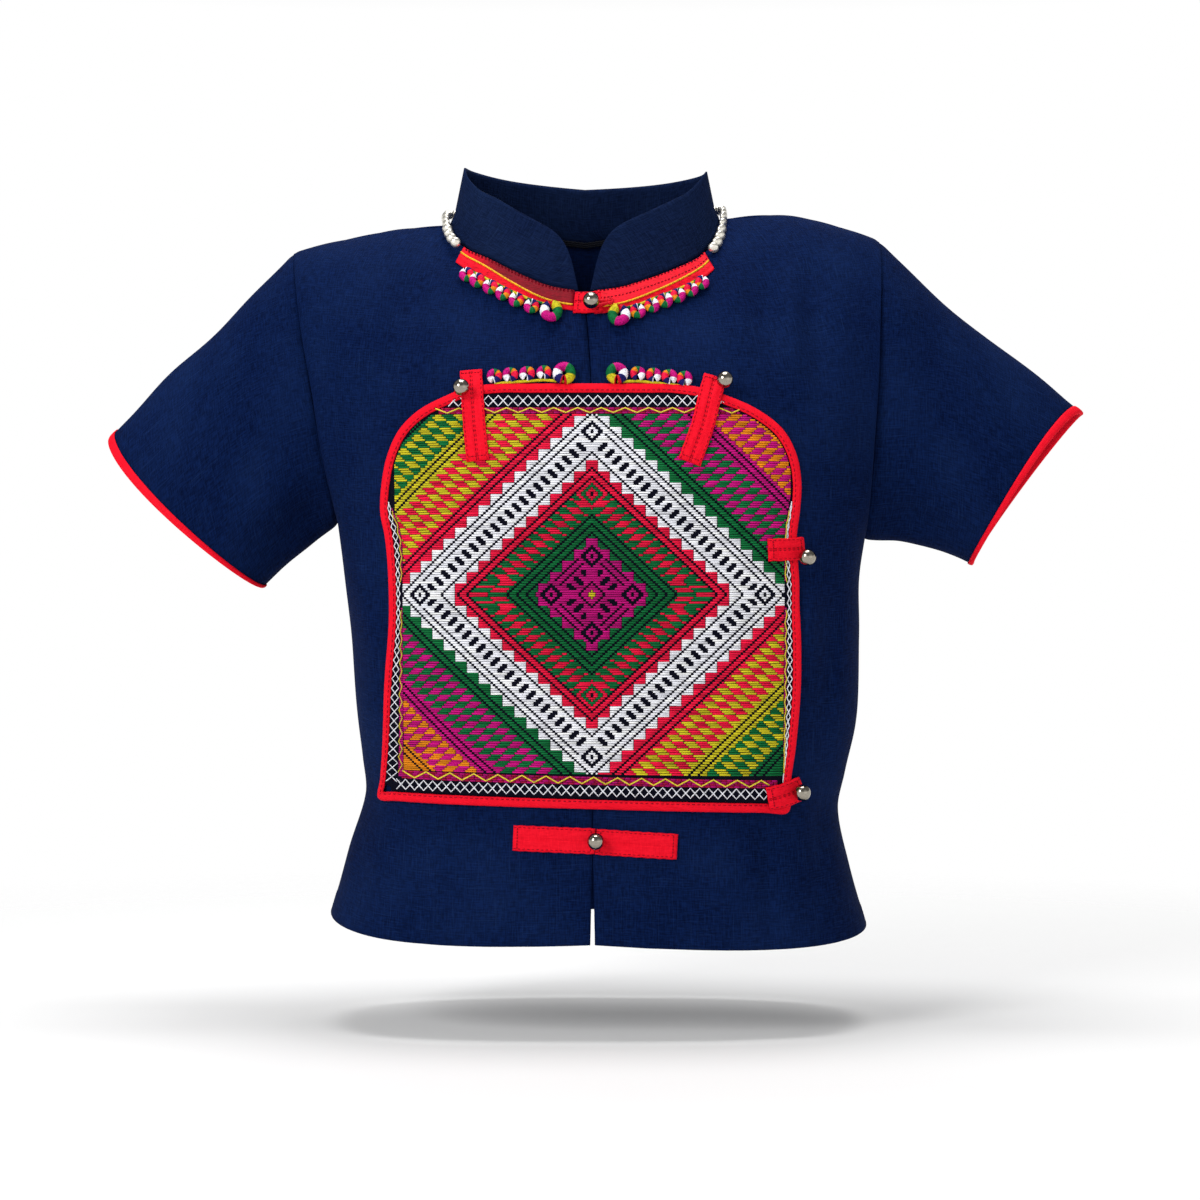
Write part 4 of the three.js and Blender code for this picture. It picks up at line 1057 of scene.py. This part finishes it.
def makeBorders():
    pile, floats = Pile(), Floats()
    inner = bibInset(bib["binding"] + 0.3)
    lowZ = bibEdges["height"][-1] + bib["binding"]
    bottom = lambda up: (lambda x, aside: (x, lowZ + up + aside - bib["tilt"] * x * 0.9))
    top = lambda down: (lambda x, aside: (x, block["bandTop"] - down + aside))

    # Places between the block and the binding: out is 0 at the block and 1 at the binding.
    def upright(side, out):
        def where(z, aside):
            edge = reachAt(inner, z)[0 if side < 0 else 1]
            reach = blockAt(side, z, edge)
            return reach + (edge - reach) * (out + aside), z
        return where

    white, yellow = colours["white"], linear((226, 205, 60))
    for phase in (0, 1):
        zigzag(pile, -122, 112, bottom(5.6), 11.4, 3.2 * (-1) ** phase, white * 0.9, 0.40)
        zigzag(pile, -90, 84, top(5.2), 12.4, 3.3 * (-1) ** phase, white * 0.9, 0.38)
        zigzag(pile, -364, -186, upright(-1, 0.64), 11.6, 0.30 * (-1) ** phase, white * 0.9, 0.36)
        zigzag(pile, -364, -186, upright(1, 0.64), 11.6, 0.30 * (-1) ** phase, white * 0.9, 0.36)
    zigzag(pile, -118, 112, bottom(12.2), 14.6, 2.1, yellow, 0.5, panelFace + 0.55)
    zigzag(pile, -98, 94, top(11.3), 14.6, 1.5, yellow, 0.45, panelFace + 0.55)
    for low, high in ((-358, middleZ - 8), (middleZ + 8, -192)):
        zigzag(pile, low, high, upright(-1, 0.16), 9.5, 0.12, yellow * 0.8, 0.38, panelFace + 0.45)
        zigzag(pile, low, high, upright(1, 0.16), 9.5, 0.12, yellow * 0.9, 0.38, panelFace + 0.45)
    bands = ((bottom, -119, 115, (9.9, 11.2, 12.5, 13.8)), (top, -96, 92, (9.9, 11.2, 12.5)))
    for edgeLine, x0, x1, rows in bands:
        for r, away in enumerate(rows):
            x = x0
            while x < x1:
                long = 3.4 + rng.uniform(-0.3, 0.3)
                dark = (int((x - x0) / 3.6) + r) % 2
                tint = colours["magenta"] * 0.75 if dark else linear((160, 16, 60))
                (ax, bx), (az, bz) = edgeLine(away)(np.array([x, min(x + long, x1)]), np.zeros(2))
                tint = tint * rng.uniform(0.85, 1.1)
                low, high = reachAt(inner, max(az, lowZ + 5))
                ax, bx = max(ax, low + 0.6), min(bx, high - 0.6)
                if bx - ax > 0.5:
                    floats.lay(ax, bx, az, bz, tint, 0.6, 0.5)
                x += long + 0.15
    for side in (-1, 1):
        z = np.arange(-360, -192, 1.384)
        near, far = upright(side, 0.02)(z, 0)[0], upright(side, 0.3)(z, 0)[0]
        for ax, bx, pz in zip(np.minimum(near, far), np.maximum(near, far), z):
            if abs(pz - middleZ) > 8:
                floats.lay(ax, bx, pz, pz, colours["magenta"] * rng.uniform(0.55, 0.9), 0.6, 0.5)
    floats.settle(threadSeat)
    floats.make("borderFloats", floatThread, "embroidery")
    pile.make("borderZigzags", fineThread, "embroidery")


makeBorders()
print("embroidery made")


# Straps: folded red tabs with a seam down the middle.
straps = {
    "panel_tab_top_left": (
        14, [[-71, -163.5, 3.5], [-73.5, -141.5, 3.7], [-75.5, -118, 4.2], [-76.5, -105.5, 1.4]]),
    "panel_tab_top_right": (14.5, [[60, -164.5, 3.5], [68.5, -141.5, 3.7], [74, -120, 4.2], [77, -110, 2.6]]),
    "panel_tab_side": (14, [[108, -218.5, 4.3], [121, -218, 4.3], [131.5, -217, 2.6]]),
    "panel_tab_corner": (15, [[108.5, -374, 4.2], [120, -371.5, 4.2], [131, -367.5, 2.6]]),
    "neck_loop": (14, [[-12, -60.6, 1.0], [-5, -61.2, 1.3], [6, -60.4, 1.3]]),
    "hem_strap_left": (16, [[-49.5, -398, 0.7], [-24, -399, 0.7], [1.5, -400, 0.7]]),
    "hem_strap_right": (16, [[2, -400.2, 0.7], [28, -402, 0.7], [52.7, -403.5, 0.7]]),
}
strapThread = Pile()


def makeStrap(name, width, line):
    line = np.array(line, float)
    run = np.concatenate([[0], np.cumsum(np.hypot(*np.diff(line[:, :2], axis=0).T))])
    steps = np.linspace(0, run[-1], max(14, int(run[-1] / 1.3)))
    x, z, high = (np.interp(steps, run, line[:, k]) for k in range(3))
    smooth = lambda v: np.convolve(np.pad(v, 3, mode="reflect", reflect_type="odd"), np.ones(7) / 7, "valid")
    x, z, high = smooth(x), smooth(z), smooth(high)
    dx, dz = np.gradient(x), np.gradient(z)
    size = np.hypot(dx, dz)
    share = np.linspace(-1, 1, 25)
    wobble = 1 + 0.02 * np.sin(steps * 0.9 + width)
    px = x[:, None] + (dz / size * width / 2 * wobble)[:, None] * share
    pz = z[:, None] - (dx / size * width / 2 * wobble)[:, None] * share
    edge = np.sqrt(np.clip(1 - (np.clip(np.abs(share) - 0.86, 0, 1) / 0.14) ** 2, 0, 1))
    ends = np.minimum(steps, steps[-1] - steps)
    fall = np.sqrt(np.clip(1 - np.clip(1 - ends / 1.1, 0, 1) ** 2, 0, 1))
    horizontal = name.startswith("hem")
    groove = 0.55 * np.exp(-((share / (0.07 if horizontal else 0.1)) ** 2)) + 0.16 * np.cos(share * 9)
    height = high[:, None] + 0.35 + (1.45 * edge - groove * 0.9) * (0.25 + 0.75 * fall[:, None])
    height += 0.12 * np.sin(steps / 3.1 + 1)[:, None] * np.cos(share * 2.2)
    points, normal = frontAt(px, pz, height)
    under = points - normal * (0.5 + 0.5 * edge[None, :, None])
    obj = wallMesh(camelCase(name), points, under, redCloth, gridUv(points))
    place(obj, "red_cloth", name)
    dark = linear((150, 6, 30))
    for way in (-0.84, 0.84) if horizontal else (-0.12, 0.12, -0.86, 0.86):
        k = int(round((way + 1) / 2 * 24))
        strapThread.stitches(np.stack([px[:, k], pz[:, k]], -1), height[:, k] + 0.02, dark, 1.5, 1.4, 0.24)
    for row in (2, len(px) - 3):
        across = np.stack([px[row, 2:-2], pz[row, 2:-2]], -1)
        strapThread.stitches(across, height[row, 2:-2] + 0.04, dark, 1.2, 0.7, 0.3)


for strapName, (strapWidth, strapLine) in straps.items():
    makeStrap(strapName, strapWidth, strapLine)
strapThread.make("strapStitches", fineThread, "embroidery")


# Neck bands: satin with yellow piping and a lower edge of red.
def bandPoint(side, degrees, drop):
    a = np.radians(degrees)
    edge = necklinePoint(degrees if side > 0 else (360 - degrees) % 360)
    return edge[..., 0] + side * np.sin(a) * drop * 0.42, edge[..., 2] - drop * (0.55 + 0.4 * np.cos(a))


bandThread = Pile()
bandCloth = plainThread("band cloth", 0.6, (300, 300, 1800))


# Painted shade: the left band's red darkens to maroon above its piping and towards the middle, where the
# satin lies in shade.
def bandTint(side, share, degrees):
    red, shadedMaroon = linear((236, 16, 40)), linear((128, 0, 24))
    if side > 0:
        return np.broadcast_to(red, (len(share), len(degrees), 3))
    piping = 0.42 + 0.36 * smoothStep(62 - degrees[None, :], 2, 56)
    above = 1 - smoothStep(share[:, None], piping, piping + 0.03)
    toMiddle = 1 - smoothStep(degrees[None, :], 36, 60)
    return red + (shadedMaroon - red) * (above * toMiddle)[..., None]


for side in (-1, 1):
    width = 14.4 if side < 0 else 16.4
    degrees = np.linspace(4, 63, 70)
    share = np.linspace(0, 1, 20)
    x, z = bandPoint(side, degrees[None, :], 1 + width * share[:, None])
    edge = np.sqrt(np.clip(1 - (np.clip(np.abs(share * 2 - 1) - 0.84, 0, 1) / 0.16) ** 2, 0, 1))[:, None]
    ends = np.minimum(degrees - 4, 63 - degrees)
    fall = np.sqrt(np.clip(1 - np.clip(1 - ends / 1.0, 0, 1) ** 2, 0, 1))[None, :]
    height = 0.75 + 1.5 * edge * (0.2 + 0.8 * fall) * (1 - 0.62 * smoothStep(share[:, None], 0.66, 0.9))
    height = height + 0.1 * np.sin(degrees * 1.3)
    points, normal = frontAt(x, z, height)
    band = wallMesh(
        "neckBand" + sideKey(side).capitalize(), points, points - normal * (0.4 + 0.5 * edge[..., None]),
        bandCloth, gridUv(points), False, bandTint(side, share, degrees),
    )
    place(band, "red_cloth", "neck_band_" + sideKey(side))
    pipe = linear((236, 178, 40))
    at = np.linspace(4.6, 62, 90)
    start, finish = (0.42, 0.80) if side < 0 else (0.56, 0.78)
    down = 1 + width * (start + (finish - start) * smoothStep(62 - at, 2, 56))
    px, pz = bandPoint(side, at, down)
    line = frontAt(px, pz, 2.55)[0]
    bandThread.cord(line, 0.62 + 0.07 * np.sin(np.arange(90) * 2.4), pipe, 8)
    for where, tint in ((0.09, linear((90, 4, 26))), (0.15 if side < 0 else 0.4, linear((130, 8, 34)))):
        px, pz = bandPoint(side, at, 1 + width * where)
        bandThread.stitches(np.stack([px, pz], -1), 2.38, tint, 1.2, 1.2, 0.3)
bandThread.make("bandTrim", fineThread, "embroidery")


# The overlocked seam inside the neck, black.
def makeNeckSeam():
    pile = Pile()
    degrees = np.linspace(64, 296, 420)
    base = necklinePoint(degrees)
    a = np.radians(degrees)
    outward = np.stack([np.sin(a), -np.cos(a), 0 * a], -1)
    down = np.array([0, 0, 1.0])
    black = linear((14, 16, 26))
    for inward, up, size in ((2.1, -0.4, 0.75), (2.4, -1.7, 0.6), (2.3, -2.9, 0.55)):
        wave = 0.22 * np.sin(np.arange(420) * 2.1 + inward)
        line = base - outward * (inward + wave * 0.4)[:, None] + down * (up + wave)[:, None]
        pile.cord(line, size, black, 6)
    pile.make("neckSeam", fineThread, "embroidery")


makeNeckSeam()


# Coil trims: open rings wound in many colours, hung on a wound cord.
coilTrims = {
    "coil_trim_neck_left": (
        [[-80.5, -42], [-73.5, -46], [-65, -50.8], [-57, -55.3], [-48.5, -59.8], [-39, -64.3]], [-26.5, -68]),
    "coil_trim_neck_right": (
        [[70, -47.5], [62.5, -52.3], [54, -56.5], [45.7, -60], [37.5, -63.5], [28.5, -67.5]], [16.7, -70.5]),
    "coil_trim_panel_left": (
        [[-61.5, -108.8], [-51.5, -108], [-41, -107.3], [-30.5, -106.6]], [-17.8, -107.6]),
    "coil_trim_panel_right": (
        [[57.5, -110.5], [48, -109.3], [38.2, -108.2], [28.3, -107.3]], [15.2, -107.6]),
}
# Colours round a ring by the angle from the right, anticlockwise in degrees, for the left trims.
ringColours = {
    "small": [(0, "red"), (35, "navy"), (80, "white"), (130, "white"), (165, "magenta"), (215, "magenta"),
              (255, "green"), (300, "orange"), (335, "red")],
    "large": [(0, "green"), (15, "yellow"), (75, "crimson"), (112, "navy"), (150, "white"), (205, "magenta"),
              (295, "green")],
}


def ringTint(kind, angles):
    table = ringColours[kind]
    places = np.array([row[0] for row in table])
    index = np.searchsorted(places, angles % 360, side="right") - 1
    return np.array([colours[table[i][1]] for i in index])


def makeCoilTrim(name, line, large):
    pile = Pile()
    mirrored, upward = name.endswith("right"), "panel" in name
    stops = [(x, z, 4.9, "small") for x, z in line] + [(*large, 7.1, "large")]
    stops = [(x, z - (1.2 if upward else 0), *more) for x, z, *more in stops]
    for k, (x, z, radius, kind) in enumerate(stops):
        radius = radius * rng.uniform(0.96, 1.04)
        thick = radius * (0.44 if kind == "small" else 0.42)
        start, stop, steps = (112, 446, 72) if kind == "small" else (98, 442, 96)
        turns = np.radians(np.linspace(start, stop, steps))
        turns = turns + rng.normal(0, 0.08)
        shown = np.pi - turns if mirrored else turns
        shown = -shown if upward else shown
        ringX = x + (radius - thick) * np.cos(shown)
        ringZ = z + (radius - thick) * np.sin(shown)
        windings = thick * (1 + 0.07 * np.sin(turns * (26 if kind == "small" else 36)))
        rise = 0.75 + thick + 0.3 * np.sin(turns * 2 + k)
        pile.cord(frontAt(ringX, ringZ, rise)[0], windings, ringTint(kind, np.degrees(turns)), 10)
    ends = np.array([(x, z) for x, z, *_ in stops])
    run = np.concatenate([[0], np.cumsum(np.hypot(*np.diff(ends, axis=0).T))])
    steps = np.linspace(0, run[-1], int(run[-1] / 0.5))
    px, pz = np.interp(steps, run, ends[:, 0]), np.interp(steps, run, ends[:, 1]) + (-4.6 if upward else 4.2)
    which = (np.floor(steps / 3.4) % 2 == 0)[:, None]
    tint = np.where(which, colours["yellow"], colours["yellow" if upward else "green"] * 0.9)
    pile.cord(frontAt(px, pz, 2.3 if upward else 2.6)[0], 0.95 + 0.1 * np.sin(steps * 6), tint, 8)
    pile.make(camelCase(name), fineThread, "wrapped_thread", name)


for trimName, (trimLine, trimLarge) in coilTrims.items():
    makeCoilTrim(trimName, trimLine, trimLarge)


# Ball buttons, the neck loop and the silver beads.
buttons = {
    "button_neck": (-1, -66, 4.9), "button_top_left": (-81, -121, 6.3), "button_top_right": (82, -116, 5.4),
    "button_side": (129, -222.5, 5.3), "button_corner": (125.5, -369, 5.6), "button_hem": (1.8, -400.3, 2.8),
}


ball = {"radius": 5.3, "centre": 1.4 + 5.3 * 0.96, "groove": 0.16}


def makeButton(name, x, z, lift):
    foot, normal = frontAt(np.array([x]), np.array([z]), lift)
    foot, normal = foot[0], normal[0]
    profile = [(0, 0), (1.6, 0), (1.5, 1.2), (2.2, 1.7)]
    for a in np.linspace(0.42, np.pi, 22):
        reach = ball["radius"] - ball["groove"] * math.exp(-(((a - 1.75) / 0.05) ** 2))
        profile.append((reach * math.sin(a), ball["centre"] - reach * math.cos(a)))
    bm = bmesh.new()
    line = [bm.verts.new((radius, 0, height)) for radius, height in profile]
    edges = [bm.edges.new(pair) for pair in zip(line, line[1:])]
    bmesh.ops.spin(
        bm, geom=line + edges, cent=(0, 0, 0), axis=(0, 0, 1), angle=2 * math.pi, steps=40, use_merge=True
    )
    bmesh.ops.remove_doubles(bm, verts=bm.verts, dist=0.001)
    turn = Vector((0, 0, 1)).rotation_difference(Vector(normal)).to_matrix().to_4x4()
    bmesh.ops.transform(bm, matrix=Matrix.Scale(0.001, 4) @ Matrix.Translation(foot) @ turn, verts=bm.verts)
    bmesh.ops.recalc_face_normals(bm, faces=bm.faces)
    obj = meshFrom(camelCase(name), bm, steel)
    place(obj, "polished_metal", name)


for buttonName, buttonPlace in buttons.items():
    makeButton(buttonName, *buttonPlace)


def makeKnot():
    pile = Pile()
    at = np.linspace(0, 1, 16)
    red = linear((225, 16, 40))
    for aside in (-1.7, 1.6):
        x, z = lerp(1, 11.5, at), -63.2 + aside * (1 - 0.5 * at) + 2.2 * at
        pile.cord(frontAt(x, z, 3.6 - 0.6 * at)[0], 1.6 - 0.5 * at, red, 8)
    turn = np.linspace(0, 2 * np.pi, 26, endpoint=False)
    pile.cord(frontAt(11 + 1.4 * np.cos(turn), -61 + 1.8 * np.sin(turn), 3.0)[0], 1.0, red * 0.8, 8, True)
    pile.make("neckKnot", fineThread, "red_cloth")


makeKnot()


# The row of beads: its ends in degrees round the neck, its pitch, and the half sizes of a bead.
beads = {"first": 60.5, "last": 299.5, "pitch": 5.7, "radius": 3.5, "halfWidth": 1.9}


def makeBeads():
    bm = bmesh.new()
    first, turn = beads["first"], beads["last"] - beads["first"]
    length = math.radians(turn) * math.sqrt((neck["halfWidth"] ** 2 + neck["halfDepth"] ** 2) / 2)
    count = round(length / beads["pitch"])
    hubs = []
    for k in range(count):
        degrees = first + turn * (k + 0.5) / count
        a = math.radians(degrees)
        outward = np.array([math.sin(a), -math.cos(a), 0])
        near = math.exp(-(((min(degrees, 360 - degrees) - 62) / 13) ** 2))
        centre = necklinePoint(degrees) + outward * (4.6 + 2.6 * near) + np.array([0, 0, 4.5 - 1.9 * near])
        hubs.append(centre)
        ahead = unit(necklinePoint(degrees + 1) - necklinePoint(degrees - 1))
        upward = unit(np.cross(outward, ahead))
        tilt = 0.85 + rng.normal(0, 0.12)
        face = unit(outward + np.array([0, -0.7 * near, 0.35]))
        axis = unit(ahead * math.cos(tilt) * (1 if degrees > 180 else -1) + face * math.sin(tilt))
        e1 = unit(np.cross(axis, outward))
        e2 = np.cross(axis, e1)
        size = rng.uniform(0.94, 1.06)
        turned = Matrix(np.stack([e1, e2, axis]).tolist()).transposed().to_4x4()
        radius = beads["radius"] * size
        flat = Matrix.Diagonal((radius, radius, beads["halfWidth"] * size, 1))
        matrix = Matrix.Scale(0.001, 4) @ Matrix.Translation(centre) @ turned @ flat
        bmesh.ops.create_uvsphere(bm, u_segments=18, v_segments=8, radius=1, matrix=matrix)
    place(meshFrom("silverBeads", bm, silver), "silver_beads", "silver_bead_row")
    string = Pile()
    string.cord(np.array(hubs), 0.5, (1, 1, 1), 6)
    string.make("beadString", silver, "silver_beads")


makeBeads()
print("trims made")


# Stage, camera and lights.
floor = {"reach": 2.4, "height": -0.525, "back": 0.06}


def makeStage():
    n = Nodes("pale floor")
    axes = n.add("SeparateXYZ", {0: n.add("TexCoord").outputs["Object"]}).outputs
    away = n.maths("SQRT", n.maths("ADD", n.maths("POWER", axes[0], 2.0), n.maths("POWER", axes[1], 2.0)))
    fade = n.ramp(n.maths("DIVIDE", away, floor["reach"]), (0.14, 1.0), (0.44, 0.0))
    n.set(Base_Color=(0.8, 0.8, 0.8, 1), Roughness=0.95, Emission_Color=(1, 1, 1, 1), Emission_Strength=0.08,
          Specular_IOR_Level=0.0, Alpha=fade)
    bm = bmesh.new()
    shift = Matrix.Translation((0, floor["back"], floor["height"]))
    bmesh.ops.create_grid(bm, x_segments=1, y_segments=1, size=floor["reach"], matrix=shift)
    meshFrom("floor", bm, n.material, False)


makeStage()

# The camera sees a width of 792 mm at 1900 mm.
camera = bpy.data.objects.new("camera", bpy.data.cameras.new("camera"))
camera.data.sensor_width = 36
camera.data.lens = 36 * 1900 / 792
camera.location = (0.0046, -1.9, -0.2495)
camera.rotation_euler = (math.pi / 2, 0, 0)
bpy.context.scene.collection.objects.link(camera)
bpy.context.scene.camera = camera


def areaLight(name, location, target, size, power):
    light = bpy.data.lights.new(name, "AREA")
    light.energy, light.size = power, size
    obj = bpy.data.objects.new(name, light)
    obj.location = location
    direction = np.array(target) - np.array(location)
    obj.rotation_euler = Vector(direction).to_track_quat("-Z", "Y").to_euler()
    bpy.context.scene.collection.objects.link(obj)


# Each light's place, what it faces, its size in metres and its power in watts.
lights = {
    "key": ((-1.5, -1.9, 0.9), (0, 0, -0.25), 1.0, 36),
    "fill": ((1.6, -1.8, 0.3), (0, 0, -0.25), 1.8, 3),
    "top": ((0.0, -0.05, 1.9), (0, 0, -0.5), 1.2, 38),
    "back": ((0.2, 1.5, 1.5), (0, 0, -0.2), 1.6, 14),
}
for lightName, values in lights.items():
    areaLight(lightName, *values)
world = bpy.data.worlds.new("studio")
world.use_nodes = True
sky = world.node_tree
background = sky.nodes["Background"]
background.inputs["Color"].default_value = (1, 1, 1, 1)
direction = sky.nodes.new("ShaderNodeTexCoord")
apart = sky.nodes.new("ShaderNodeSeparateXYZ")
brightness = sky.nodes.new("ShaderNodeMapRange")
sky.links.new(direction.outputs["Generated"], apart.inputs[0])
sky.links.new(apart.outputs["Z"], brightness.inputs["Value"])
for socket, value in zip(("From Min", "From Max", "To Min", "To Max"), (0.2, 0.34, 1.0, 0.22)):
    brightness.inputs[socket].default_value = value
sky.links.new(brightness.outputs[0], background.inputs["Strength"])
bpy.context.scene.world = world
bpy.context.scene.view_settings.view_transform = "Standard"
print("stage, camera and lights made")
